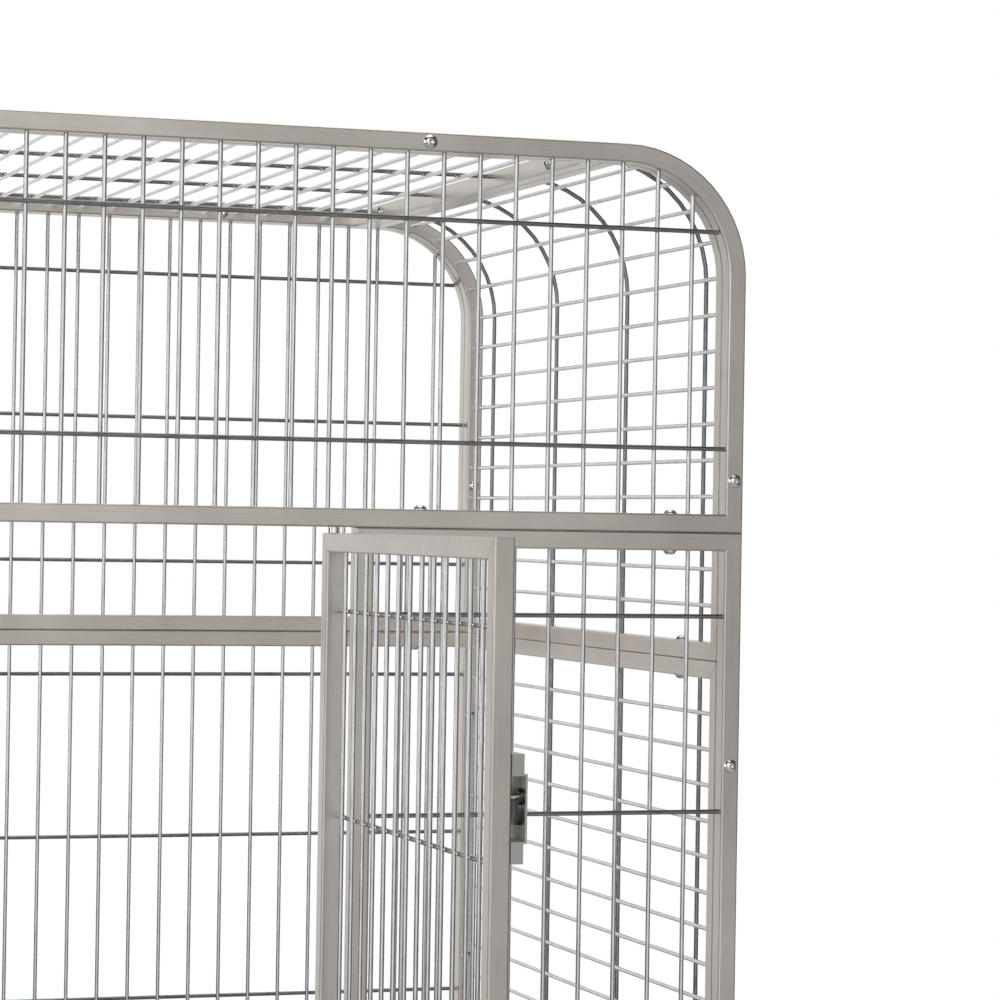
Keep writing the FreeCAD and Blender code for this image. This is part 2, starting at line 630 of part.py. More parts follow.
# ---------------------------------------------------------------- sides and roof
def side_panels():
    """The flat lower side panels, with level bars and upright wires outside them."""
    origin = ("side_x", "-side_length / 2", "base_z")
    pieces = panel_frame("side", "yz", origin, "side_length", "side_lower_height")
    drilled = holes("side_seam", SIDE_SEAM, "z")
    drilled += holes("side_front", [("side_x", LOW_Y, z) for z in POST_LOW], "y")
    drilled += holes("side_back", [("side_x", HIGH_Y, z) for z in POST_LOW], "y")
    right = node("right_side_frame", cut("right_side_frame", group("side_tubes", pieces), drilled))
    node("left_side_frame", mirrored("left_side_frame", right))
    inner = ("side_x", "tube_side - side_length / 2", "base_z + tube_side")
    right = node("right_side_bars", grid("right_side_bars", "yz", inner, "(side_length - 2 * tube_side)",
                                         SIDE_INNER, SIDE_SPACES, 4, "depth_inset", "depth_inset", "1",
                                         along_v=False))
    node("left_side_bars", mirrored("left_side_bars", right))


def hip_frame():
    """Frame of a curved side panel: a bent tube at each end and two straight rails."""
    run = "side_length - 2 * tube_side"
    start = "tube_side - side_length / 2"
    bends = []
    for end, y in (("front", "(tube_side - side_length) / 2"), ("back", "(side_length - tube_side) / 2")):
        bends.append(bent_tube("hip_" + end, "hip_height - tube_side / 2", "hip_reach - tube_side / 2",
                               ("side_x", y, "side_seam_z"), False, Rotation(UP, 180)))
    rail_z = "side_seam_z + tube_side / 2"
    rails = [
        tube("hip_low", run, ("side_x", start, rail_z), Rotation(UP, 90), (False, False)),
        tube("hip_top", run, ("half_width - hip_reach + tube_side / 2", start, "roof_mid_z"),
             Rotation(UP, 90), (False, False)),
    ]
    drilled = holes("hip_side", SIDE_SEAM, "z")
    drilled += holes("hip_front", [("side_x", LOW_Y, z) for z in POST_TOP], "y")
    drilled += holes("hip_back", [("side_x", HIGH_Y, z) for z in POST_TOP], "y")
    drilled += holes("hip_roof", [("half_width - hip_reach - tube_side", y, "roof_mid_z") for y in HIP_SEAM],
                     "x")
    return cut("right_hip_frame", group("hip_tubes", bends + rails), drilled)


def hip_bar_places():
    """Level bars at even steps up the wall, round the bend and over to the top rail."""
    wall = size("bend_z") - size("side_seam_z") - size("tube_side")
    bend = size("bend_middle") * math.pi / 2
    flat = size("hip_reach") - size("tube_side") - size("corner_radius")
    count = spaces(wall + bend + flat)
    path = "(bend_z - side_seam_z - tube_side + bend_middle * pi / 2 + hip_reach - tube_side - corner_radius)"
    places = []
    for k in range(1, count):
        run = f"({path} * {k} / {count})"
        length = (wall + bend + flat) * k / count
        if length <= wall:
            places.append(("side_x", f"side_seam_z + tube_side + {run}"))
        elif length <= wall + bend:
            angle = f"(({run} - (bend_z - side_seam_z - tube_side)) / bend_middle * 180deg / pi)"
            places.append((f"bend_x + bend_middle * cos({angle})", f"bend_z + bend_middle * sin({angle})"))
        else:
            over = f"({run} - (bend_z - side_seam_z - tube_side) - bend_middle * pi / 2)"
            places.append((f"bend_x - {over}", "roof_mid_z"))
    return places


def hip_wire(name, y):
    """A cross wire that follows the panel's outside, up the wall and round the bend."""
    radius = "(bend_middle + weld_offset)"
    low = "side_seam_z + tube_side"
    wall = rod(name + "_wall", "bar_radius", f"bend_z - ({low})", (f"bend_x + {radius}", y, low))
    bend = bind(doc.addObject("Part::Torus", name + "_bend"), Radius1=radius, Radius2="bar_radius")
    bend.Angle3 = 90
    place(bend, ("bend_x", y, "bend_z"), Rotation(TURN_X, 90))
    if size("hip_reach") - size("tube_side") <= size("corner_radius"):
        return [wall, bend]
    flat = rod(name + "_flat", "bar_radius", "hip_reach - tube_side - corner_radius",
               ("half_width - hip_reach + tube_side", y, f"bend_z + {radius}"), "x")
    return [wall, bend, flat]


def depth_stations():
    """Where the cross wires of roof and sides stand along the depth."""
    start, run = "(tube_side - side_length / 2)", "(side_length - 2 * tube_side)"
    return [f"{start} + depth_inset + ({run} - 2 * depth_inset) * {k} / 3" for k in range(4)]


def hip_panels():
    right = node("right_hip_frame", hip_frame())
    node("left_hip_frame", mirrored("left_hip_frame", right))
    run = "side_length - 2 * tube_side"
    made = [rod(f"hip_bar_{k}", "bar_radius", run, (x, "tube_side - side_length / 2", z), "y")
            for k, (x, z) in enumerate(hip_bar_places())]
    for k, y in enumerate(depth_stations()):
        made += hip_wire(f"hip_wire_{k}", y)
    right = node("right_hip_bars", fuse("right_hip_bars", made))
    node("left_hip_bars", mirrored("left_hip_bars", right))


def roof_panel():
    corner = ("-roof_width / 2", "-side_length / 2", "roof_mid_z")
    pieces = panel_frame("roof", "xy", corner, "roof_width", "side_length")
    spots = [(f"{s} * {ROOF_FRONT}", y, "roof_mid_z") for s in (-1, 1) for y in (LOW_Y, HIGH_Y)]
    drilled = holes("roof_end", spots, "y")
    for side, x in ROOF_EDGES:
        drilled += holes("roof_" + side, [(x, y, "roof_mid_z") for y in HIP_SEAM], "x")
    node("roof_frame", cut("roof_frame", group("roof_tubes", pieces), drilled))
    inner = ("tube_side - roof_width / 2", "tube_side - side_length / 2", "roof_mid_z")
    node("roof_bars", grid("roof_bars", "xy", inner, ROOF_INNER, "(side_length - 2 * tube_side)",
                           ROOF_SPACES, 4, "depth_inset", "depth_inset", "1"))


def bolts():
    """Domed bolts that hold the panels together, two groups."""
    seams = [bolt(f"seam_bolt_{k}", spot, "z", GRIP) for k, spot in enumerate(FRONT_SEAM + BACK_SEAM)]
    for side in (1, -1):
        seams += [bolt(f"side_bolt_{side + 1}_{k}", (f"{side} * side_x",) + spot[1:], "z", GRIP)
                  for k, spot in enumerate(SIDE_SEAM)]
    node("seam_bolts", group("seam_bolts", seams))
    spots = post_bolts(POST_LOW + POST_TOP, LOW_Y) + post_bolts(POST_LOW + POST_TOP, HIGH_Y)
    spots += [(f"{s} * {ROOF_FRONT}", y, "roof_mid_z") for s in (-1, 1) for y in (LOW_Y, HIGH_Y)]
    posts = [bolt(f"post_bolt_{k}", spot, "y", GRIP) for k, spot in enumerate(spots)]
    node("post_bolts", group("post_bolts", posts))
    across = []
    for side, x in ROOF_EDGES:
        across += [bolt(f"roof_bolt_{side}_{k}", (x, y, "roof_mid_z"), "x", GRIP)
                   for k, y in enumerate(HIP_SEAM)]
    node("roof_bolts", group("roof_bolts", across))


# ---------------------------------------------------------------- main door
# The door is drawn along +X from its pivot, with its outside towards +Y, then hung open.
def hang(thing):
    return place(thing, ("pivot_x", "front_y", "door_z"), Rotation(UP, -90))


def door():
    pieces = panel_frame("door", "xz", ("-tube_side / 2", "0", "0"), "door_width", "door_height")
    deep = f"pin_reach + 2 * {OVERCUT}"
    bores = [rod("bush_hole_low", "bush_radius", deep, ("0", "0", f"-{OVERCUT}")),
             rod("bush_hole_top", "bush_radius", deep, ("0", "0", f"door_height - pin_reach - {OVERCUT}"))]
    for middle in ("latch_low", "latch_high"):
        spot = ("free_edge - pin_inset", "0", f"{middle} + pin_rise")
        bores.append(rod(middle + "_bore", "latch_pin", "tube_side", spot, "y"))
    node("door_frame", hang(cut("door_frame", group("door_tubes", pieces), bores)))
    count = spaces(size("door_width") - 2 * size("tube_side"), "door_pitch")
    inner = ("tube_side / 2", "0", "tube_side")
    node("door_bars", hang(grid("door_bars", "xz", inner, "(door_width - 2 * tube_side)",
                                "(door_height - 2 * tube_side)", count, 4,
                                "door_wire_low", "door_wire_top", "1")))


def door_hinge():
    """Pins welded to the rails above and below; bushes welded into the door's corners."""
    top = "front_seam_z"
    sill = "front_base_z + tube_side"
    pins = [rod("pin_top", "pin_radius", "pin_reach", ("pivot_x", "front_y", top + " - pin_reach")),
            rod("pin_low", "pin_radius", "pin_reach", ("pivot_x", "front_y", sill))]
    node("hinge_pins", group("hinge_pins", pins))
    reach = "pin_reach - 2 * end_play"
    bore = "pin_radius + hinge_play"
    bushes = [ring("bush_low", "bush_radius", bore, reach, ("0", "0", "end_play - door_low_gap")),
              ring("bush_top", "bush_radius", bore, reach,
                   ("0", "0", f"door_height + door_top_gap - end_play - ({reach})"))]
    node("hinge_bushes", hang(group("hinge_bushes", bushes)))


def latch_housing(name, middle):
    """A raised box open towards the free edge, between two end blocks."""
    face = "tube_side / 2"
    x = "free_edge - latch_length"
    low = f"{middle} - latch_middle / 2"
    shell = box(name + "_shell", "latch_length", "latch_proud", "latch_middle", (x, face, low))
    hollow = box(name + "_hollow", "latch_length", "latch_proud - latch_sheet",
                 "latch_middle - 2 * latch_sheet", (f"{x} + latch_sheet", face, f"{low} + latch_sheet"))
    made = [cut(name + "_raised", shell, [hollow])]
    for end, z in (("low", f"{middle} - latch_full / 2"), ("top", f"{middle} + latch_middle / 2")):
        made.append(box(f"{name}_end_{end}", "latch_length", "latch_ends", "(latch_full - latch_middle) / 2",
                        (x, face, z)))
    return fuse(name, made)


def tongue(name, middle):
    """A tongue on a pin, cut from a round disc as a crescent, hanging inside its housing."""
    y = "tube_side / 2 + latch_proud - latch_sheet - tongue_thick - end_play"
    x, z = "free_edge - pin_inset", f"{middle} + pin_rise"
    eye = rod(name + "_eye", "tongue_wide", "tongue_thick", (x, y, z), "y")
    round_x, round_z = f"{x} - tongue_reach / 2", f"{z} - 0.45 * tongue_reach"
    through, before = f"tongue_thick + 2 * {OVERCUT}", f"{y} - {OVERCUT}"
    disc = rod(name + "_disc", "0.62 * tongue_reach", "tongue_thick", (round_x, y, round_z), "y")
    waste = [rod(name + "_back", "0.62 * tongue_reach", through,
                 (f"{round_x} - tongue_wide", before, round_z), "y")]
    for end, edge in (("above", z), ("below", f"{z} - 1.85 * tongue_reach")):
        waste.append(box(f"{name}_{end}", "3 * tongue_reach", through, "tongue_reach",
                         (f"{x} - 2 * tongue_reach", before, edge)))
    bore = rod(name + "_bore", "latch_pin + hinge_play", through, (x, before, z), "y")
    return cut(name, fuse(name + "_solid", [eye, cut(name + "_blade", disc, waste)]), [bore])


def latches():
    housings, pins = [], []
    for end, middle in (("lower", "latch_low"), ("upper", "latch_high")):
        housings.append(latch_housing(end + "_housing", middle))
        pins.append(rod(end + "_latch_pin", "latch_pin", "tube_side / 2 + latch_proud - latch_sheet",
                        ("free_edge - pin_inset", "0", f"{middle} + pin_rise"), "y"))
        node(end + "_latch_tongue", hang(tongue(end + "_tongue", middle)))
    node("latch_housings", hang(group("latch_housings", housings)))
    node("latch_pins", hang(group("latch_pins", pins)))


def keepers():
    """Lips on the latch jamb that the tongues swing up behind, and stops for the door."""
    made, stops = [], []
    jamb_x = "-door_opening / 2 - tube_side"
    for name, middle in (("keeper_low", "latch_low"), ("keeper_high", "latch_high")):
        z = f"door_z + {middle} + pin_rise"
        y = "-half_depth - latch_proud - keeper_clear"
        lip = box(name + "_lip", "tube_side - 3", "latch_sheet", "keeper_height", (jamb_x, y, f"{z} - 8"))
        web = box(name + "_web", "tube_side - 3", "latch_proud + keeper_clear", "keeper_web",
                  (jamb_x, y, f"{z} + 8"))
        made.append(fuse(name, [lip, web]))
    node("latch_keepers", group("latch_keepers", made))
    for k, z in enumerate(("stop_inset", "door_height - stop_inset - stop_height")):
        stops.append(box(f"stop_{k}", "tube_side + stop_lap", "stop_thick", "stop_height",
                         (jamb_x, "tube_side - half_depth + end_play", f"door_z + {z}")))
    node("door_stops", group("door_stops", stops))


# ---------------------------------------------------------------- feeder doors
def feeder_grid(start, finish, first, pitch, low, high):
    """Rim, corner balls and bars of the small door."""
    made = []
    for k, x in enumerate((start, finish)):
        made.append(rod(f"feeder_side_{k}", "feeder_rod", high, (x, "front_y", low)))
    for k, z in enumerate((low, f"{low} + {high}")):
        made.append(rod(f"feeder_rim_{k}", "feeder_rod", f"{finish} - {start}", (start, "front_y", z), "x"))
        for j, x in enumerate((start, finish)):
            corner = bind(doc.addObject("Part::Sphere", f"feeder_corner_{k}{j}"), Radius="feeder_rod")
            made.append(place(corner, (x, "front_y", z)))
    for k in range(1, int(size("feeder_span"))):
        spot = (f"{first} + {pitch} * {k}", "front_y", low)
        made.append(rod(f"feeder_bar_{k}", "bar_radius", high, spot))
    return made


def bowl_ring(start, finish, middle, bowl_y, ring_z):
    """The hoop that a bowl hangs in, on two rods from a level brace."""
    hoop = bind(doc.addObject("Part::Torus", "feeder_hoop"), Radius1="bowl_radius + end_play + bar_radius",
                Radius2="bar_radius")
    made = [place(hoop, (middle, bowl_y, ring_z))]
    made.append(rod("feeder_brace", "bar_radius", f"{finish} - {start}",
                    (start, "front_y + weld_offset", ring_z), "x"))
    reach = f"{bowl_y} - front_y - sqrt((bowl_radius + bar_thick) ^ 2 - arm_spread ^ 2)"
    for k, s in enumerate((-1, 1)):
        made.append(rod(f"feeder_arm_{k}", "arm_radius", reach,
                        (f"{middle} + {s} * arm_spread", "front_y + bar_radius", ring_z), "y"))
    return made


def bowl(middle, bowl_y, ring_z):
    """A drawn steel bowl with a flat rim that rests on its ring."""
    foot = f"{ring_z} - bowl_height + bar_radius + bowl_foot"
    cup = rod("bowl_cup", "bowl_radius", "bowl_height", (middle, bowl_y, foot))
    inside = rod("bowl_inside", "bowl_radius - bowl_wall", "bowl_height",
                 (middle, bowl_y, f"{foot} + bowl_wall"))
    rim = ring("bowl_flange", "bowl_radius + bowl_rim", "bowl_radius - bowl_wall", "bowl_wall",
               (middle, bowl_y, f"{ring_z} + bar_radius + end_play"))
    return fuse("right_bowl", [cut("bowl_shell", cup, [inside]), rim])


def feeders():
    """Small doors between two bars, which swing out with their bowls on the outer bar."""
    pitch = f"(fixed_inner / {spaces(size('fixed_inner'))})"
    first = f"(door_opening / 2 + tube_side + {pitch} * feeder_first)"
    hinge = f"({first} + {pitch} * feeder_span)"
    start = f"({first} + bar_radius + feeder_gap + feeder_rod)"
    finish = f"({hinge} - bar_radius - feeder_gap - feeder_rod)"
    middle = f"({first} + {pitch} * feeder_span / 2)"
    low, high = "(feeder_z - feeder_high / 2 + feeder_rod)", "(feeder_high - 2 * feeder_rod)"
    bowl_y, ring_z = "(front_y + feeder_rod + bowl_behind + bowl_radius)", "(feeder_z - bowl_drop)"
    made = feeder_grid(start, finish, first, pitch, low, high)
    made += bowl_ring(start, finish, middle, bowl_y, ring_z)
    bores = []
    for k, z in enumerate((f"{low} + loop_inset", f"{low} + {high} - loop_inset - loop_height")):
        made.append(rod(f"feeder_loop_{k}", "bar_thick", "loop_height", (hinge, "front_y", z)))
        made.append(box(f"feeder_lug_{k}", "loop_reach", "lug_thick", "loop_height",
                        (f"{hinge} - loop_reach", "front_y - lug_thick / 2", z)))
        bores.append(rod(f"feeder_loop_bore_{k}", "bar_radius + hinge_play", f"loop_height + 2 * {OVERCUT}",
                         (hinge, "front_y", f"{z} - {OVERCUT}")))
    right = node("right_feeder_door", cut("right_feeder_door", fuse("feeder_solid", made), bores))
    node("left_feeder_door", mirrored("left_feeder_door", right))
    right = node("right_bowl", bowl(middle, bowl_y, ring_z))
    node("left_bowl", mirrored("left_bowl", right))


# ---------------------------------------------------------------- tray and grille
def runners():
    """Angles along the sides that carry tray and grille; each is fixed to the side frames."""
    made = []
    wall = "half_width - tube_side"
    for level, z in (("tray", "tray_runner_z"), ("grille", "grille_z")):
        leg = box(level + "_runner_leg", "sheet", "side_length", "runner_leg",
                  (f"{wall} - sheet", "-side_length / 2", z))
        ledge = box(level + "_runner_ledge", "runner_leg", "side_length", "sheet",
                    (f"{wall} - runner_leg", "-side_length / 2", z))
        right = fuse(level + "_runner", [leg, ledge])
        made += [right, mirrored(level + "_runner_left", right)]
    node("runners", group("runners", made))


def pull(name, y, z, length):
    """A bent rod pull that stands forward of a front plate."""
    half = f"({length}) / 2"
    made = [rod(name + "_grip", "pull_radius", length, (f"-{half}", f"{y} - pull_reach", z), "x")]
    for k, s in enumerate((-1, 1)):
        x = f"{s} * {half}"
        made.append(rod(f"{name}_leg_{k}", "pull_radius", "pull_reach", (x, f"{y} - pull_reach", z), "y"))
        knee = bind(doc.addObject("Part::Sphere", f"{name}_knee_{k}"), Radius="pull_radius")
        made.append(place(knee, (x, f"{y} - pull_reach", z)))
    return fuse(name, made)


def tray():
    z = "(tray_runner_z + sheet + end_play)"
    run = "(cage_depth - tube_side - back_gap)"
    pan = box("tray_block", "2 * slide_half", run, "tray_height", ("-slide_half", "-half_depth", z))
    hollow = box("tray_hollow", "2 * slide_half - 2 * sheet", f"{run} - 2 * sheet", "tray_height",
                 ("sheet - slide_half", "sheet - half_depth", f"{z} + sheet"))
    front = box("tray_plate", "cage_width - 2 * plate_inset", "sheet", "tray_front",
                ("plate_inset - half_width", "-half_depth", z))
    node("tray", fuse("tray", [cut("tray_pan", pan, [hollow]), front]))
    node("tray_pull", pull("tray_pull", "-half_depth", f"{z} + tray_front / 2", "pull_length"))


def grille():
    z = "(grille_z + sheet + end_play + tube_side / 2)"
    run = "(cage_depth - tube_side - back_gap)"
    corner = ("-slide_half", "-half_depth", z)
    node("grille_frame", group("grille_frame", panel_frame("grille", "xy", corner, "(2 * slide_half)", run)))
    inner = ("tube_side - slide_half", "tube_side - half_depth", z)
    count = spaces(2 * size("slide_half") - 2 * size("tube_side"))
    node("grille_bars", grid("grille_bars", "xy", inner, "(2 * slide_half - 2 * tube_side)",
                             f"({run} - 2 * tube_side)", count, 4, "depth_inset", "depth_inset", "-1"))
    node("grille_pull", pull("grille_pull", "-half_depth", z, "pull_length"))


# ---------------------------------------------------------------- stand
CORNERS = [(-1, -1), (1, -1), (-1, 1), (1, 1)]


def stand():
    corner = ("-half_width", "-half_depth", "ring_z + leg_side / 2")
    ring_frame = panel_frame("ring", "xy", corner, "cage_width", "cage_depth", "leg")
    node("stand_ring", group("stand_ring", ring_frame))
    legs, rails = [], []
    for k, (sx, sy) in enumerate(CORNERS):
        foot = (f"{sx} * leg_x", f"{sy} * leg_y", "castor_height")
        legs.append(tube(f"leg_{k}", "ring_z - castor_height", foot, Rotation(TURN_Y, -90),
                         (False, False), "leg"))
    node("stand_legs", group("stand_legs", legs))
    z = "shelf_z - leg_side / 2"
    wide, deep = "cage_width - 2 * leg_side", "cage_depth - 2 * leg_side"
    for k, s in enumerate((-1, 1)):
        rails.append(tube(f"shelf_rail_{k}", wide, ("leg_side - half_width", f"{s} * leg_y", z),
                          upright("xz", 0), (False, False), "leg"))
        rails.append(tube(f"shelf_end_{k}", deep, (f"{s} * leg_x", "leg_side - half_depth", z),
                          upright("yz", 0), (False, False), "leg"))
    node("shelf_rails", group("shelf_rails", rails))
    under = "shelf_z - shelf_lip"
    outer = box("shelf_block", wide, deep, "shelf_lip + sheet",
                ("leg_side - half_width", "leg_side - half_depth", under))
    hollow = box("shelf_hollow", wide + " - 2 * sheet", deep + " - 2 * sheet", "shelf_lip",
                 ("leg_side - half_width + sheet", "leg_side - half_depth + sheet", under))
    node("shelf", cut("shelf", outer, [hollow]))


def fork(k, x, y, axle_y):
    """A pressed fork: a round crown, a bridge and two cheeks with eyes for the axle."""
    pieces = [rod(f"crown_{k}", "crown_radius", "crown_height", (x, y, "crown_z"))]
    for side, inner in (("right", f"{x} + fork_half"), ("left", f"{x} - fork_half - fork_plate")):
        pieces.append(box(f"cheek_{side}_{k}", "fork_plate", "trail + eye_radius",
                          "crown_z - wheel_radius + 2", (inner, f"{y} - eye_radius", "wheel_radius")))
        pieces.append(rod(f"eye_{side}_{k}", "eye_radius", "fork_plate",
                          (inner, axle_y, "wheel_radius"), "x"))
    pieces.append(box(f"bridge_{k}", "2 * fork_half + 2 * fork_plate", "trail + eye_radius", "bridge_thick",
                      (f"{x} - fork_half - fork_plate", f"{y} - eye_radius", "crown_z - 1")))
    bores = [rod(f"stem_bore_{k}", "stem_radius + hinge_play", "crown_height + 2 * bridge_thick",
                 (x, y, "crown_z - bridge_thick")),
             rod(f"axle_bore_{k}", "axle_radius", "2 * crown_radius + 2 * fork_half",
                 (f"{x} - crown_radius - fork_half", axle_y, "wheel_radius"), "x")]
    return cut(f"fork_{k}", fuse(f"fork_solid_{k}", pieces), bores)


def castor(k, sx, sy):
    """Swivel fork with its axle, wheel and tyre; the wheel trails behind the stem."""
    x, y = f"{sx} * leg_x", f"{sy} * leg_y"
    axle_y = f"{y} + trail"
    axle = rod(f"axle_{k}", "axle_radius", "2 * fork_half + 2 * fork_plate + 2 * axle_proud",
               (f"{x} - fork_half - fork_plate - axle_proud", axle_y, "wheel_radius"), "x")
    node(f"castor_fork_{k}", group(f"castor_fork_{k}", [fork(k, x, y, axle_y), axle]))
    hub = ring(f"hub_{k}", "hub_radius", "axle_radius + hinge_play", "2 * fork_half - 2 * end_play",
               (f"{x} - fork_half + end_play", axle_y, "wheel_radius"), "x")
    tyre = ring(f"tyre_{k}", "wheel_radius", "hub_radius", "wheel_width",
                (f"{x} - wheel_width / 2", axle_y, "wheel_radius"), "x")
    node(f"castor_wheel_{k}", group(f"castor_wheel_{k}", [hub, tyre]))


def castors():
    """Castors and the stems that hold them, each with a plate and a plug for its leg."""
    stems = []
    for k, (sx, sy) in enumerate(CORNERS, 1):
        castor(k, sx, sy)
        x, y = f"{sx} * leg_x", f"{sy} * leg_y"
        plug = "leg_side - 2 * leg_wall - 2 * plug_play"
        corner_x, corner_y = f"{x} - leg_side / 2", f"{y} - leg_side / 2"
        stems.append(fuse(f"stem_set_{k}", [
            rod(f"stem_{k}", "stem_radius", "castor_height - crown_z + bridge_thick",
                (x, y, "crown_z - bridge_thick")),
            box(f"plug_{k}", plug, plug, "plug_height",
                (f"{corner_x} + leg_wall + plug_play", f"{corner_y} + leg_wall + plug_play",
                 "castor_height")),
            box(f"cap_{k}", "leg_side", "leg_side", "cap_thick",
                (corner_x, corner_y, "castor_height - cap_thick")),
            rod(f"stem_head_{k}", "stem_radius + 2", "stem_head",
                (x, y, "crown_z - 1 - bridge_thick - end_play")),
        ]))
    node("castor_stems", group("castor_stems", stems))


# ---------------------------------------------------------------- build, check and write
front_panels()
back_panels()
side_panels()
hip_panels()
roof_panel()
bolts()
door()
door_hinge()
latches()
keepers()
feeders()
runners()
tray()
grille()
stand()
castors()
doc.recompute()

for thing in doc.Objects:
    if "Invalid" in thing.State or "Error" in thing.State:
        raise RuntimeError(f"{thing.Name} did not rebuild: {thing.State}")
for name, thing in nodes.items():
    if thing.Shape.isNull() or not thing.Shape.isValid():
        raise RuntimeError(f"{name} has no valid shape")

os.makedirs("parts", exist_ok=True)
for name, thing in nodes.items():
    thing.Shape.exportStep(f"parts/{name}.step")
    box_of = thing.Shape.BoundBox
    print(f"{name}: {len(thing.Shape.Solids)} solids, {thing.Shape.Volume / 1000:.1f} cm3, "
          f"x {box_of.XMin:.1f}..{box_of.XMax:.1f} y {box_of.YMin:.1f}..{box_of.YMax:.1f} "
          f"z {box_of.ZMin:.1f}..{box_of.ZMax:.1f}")
print(len(nodes), "nodes")
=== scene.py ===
# %% [markdown]
# # A stainless bird cage on a wheeled stand
# The cage is a bolted set of welded panels. Each panel is a frame of mitred square tube round a
# grid of polished round bars. All of it is bare steel, so the looks rest on two things: the
# grain that follows every tube, and clean round bars with small welds where wires cross them.
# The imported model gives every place. It is loaded first and is never moved.

# %% Load the frame
import math

import bpy
import numpy as np
from mathutils import Matrix, Vector


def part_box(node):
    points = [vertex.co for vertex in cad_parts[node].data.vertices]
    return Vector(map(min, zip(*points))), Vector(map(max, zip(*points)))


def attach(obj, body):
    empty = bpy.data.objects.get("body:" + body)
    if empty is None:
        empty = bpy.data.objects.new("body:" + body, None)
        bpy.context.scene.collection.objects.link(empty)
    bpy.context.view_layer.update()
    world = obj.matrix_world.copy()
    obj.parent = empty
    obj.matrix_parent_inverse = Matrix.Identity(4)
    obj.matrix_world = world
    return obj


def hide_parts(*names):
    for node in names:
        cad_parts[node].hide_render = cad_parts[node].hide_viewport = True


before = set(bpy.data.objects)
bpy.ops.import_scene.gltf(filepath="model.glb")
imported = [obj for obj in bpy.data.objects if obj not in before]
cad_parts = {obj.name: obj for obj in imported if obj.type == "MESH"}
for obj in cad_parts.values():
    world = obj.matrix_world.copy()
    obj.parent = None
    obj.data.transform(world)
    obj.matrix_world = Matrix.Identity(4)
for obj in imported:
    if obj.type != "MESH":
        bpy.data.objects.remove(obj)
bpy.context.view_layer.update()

# %% [markdown]
# ## Stock sizes and places
# A welder starts from the stock: square tube in two sizes and round bar. Those sizes are written
# here, in metres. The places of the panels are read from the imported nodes, so that every piece
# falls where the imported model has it.

# %% Stock and places, in metres
TUBE, TUBE_CURVE = 0.016, 0.0016  # panel tube: side, and radius of its corners
LEG, LEG_CURVE = 0.025, 0.0025  # stand tube
BAR = 0.002  # radius of every bar and wire
WELD = 0.0036  # from the middle of a bar to the middle of the wire over it
PITCH, DOOR_PITCH = 0.0325, 0.0305  # wanted spacing of the bars
FRONT_INSET, LOW_INSET, DEPTH_INSET = 0.057, 0.030, 0.050  # frame to the first wire
DOOR_WIRE_TOP, DOOR_WIRE_LOW = 0.049, 0.035
BEND = 0.104  # roof bend, at the middle of the tube
BEND_RINGS = 15  # sections along a bend
JAMB = 0.234  # half the clear doorway
X, Y, Z = np.eye(3)
SHUFFLE = np.random.default_rng(7)
GRAIN_SHIFT = 4.0  # metres by which the grain differs from tube to tube


def corners(node):
    """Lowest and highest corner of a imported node, as arrays."""
    low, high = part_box(node)
    return np.array(low), np.array(high)


arch_low, arch_high = corners("front_arch")
HALF_WIDTH = arch_high[0]
FRONT_Y = (arch_low[1] + arch_high[1]) / 2
SEAM_Z, ROOF_Z = arch_low[2], arch_high[2]
back_low, back_high = corners("back_arch")
BACK_Y, SIDE_SEAM_Z = (back_low[1] + back_high[1]) / 2, back_low[2]
BASE_Z = corners("back_lower_frame")[0][2]
SILL_Z = corners("front_lower_frame")[0][2]
SIDE_X = HALF_WIDTH - TUBE / 2
DEPTH_LOW, DEPTH_HIGH = (corner[1] for corner in corners("right_side_frame"))
DEPTH = DEPTH_HIGH - DEPTH_LOW
print(f"cage {2 * HALF_WIDTH:.3f} m wide, roof at {ROOF_Z:.3f} m")

# %% [markdown]
# ## Writing meshes
# A tube, a bar or a turned part is a surface over two parameters: how far along, and how far
# round. So one small class takes whole grids of points, closes their ends and keeps a flat map
# in metres (how far along, how far round), which the brushed finish needs for its grain.
# Tubes get exact normals, because a flat wall beside a small round corner would else look bent.


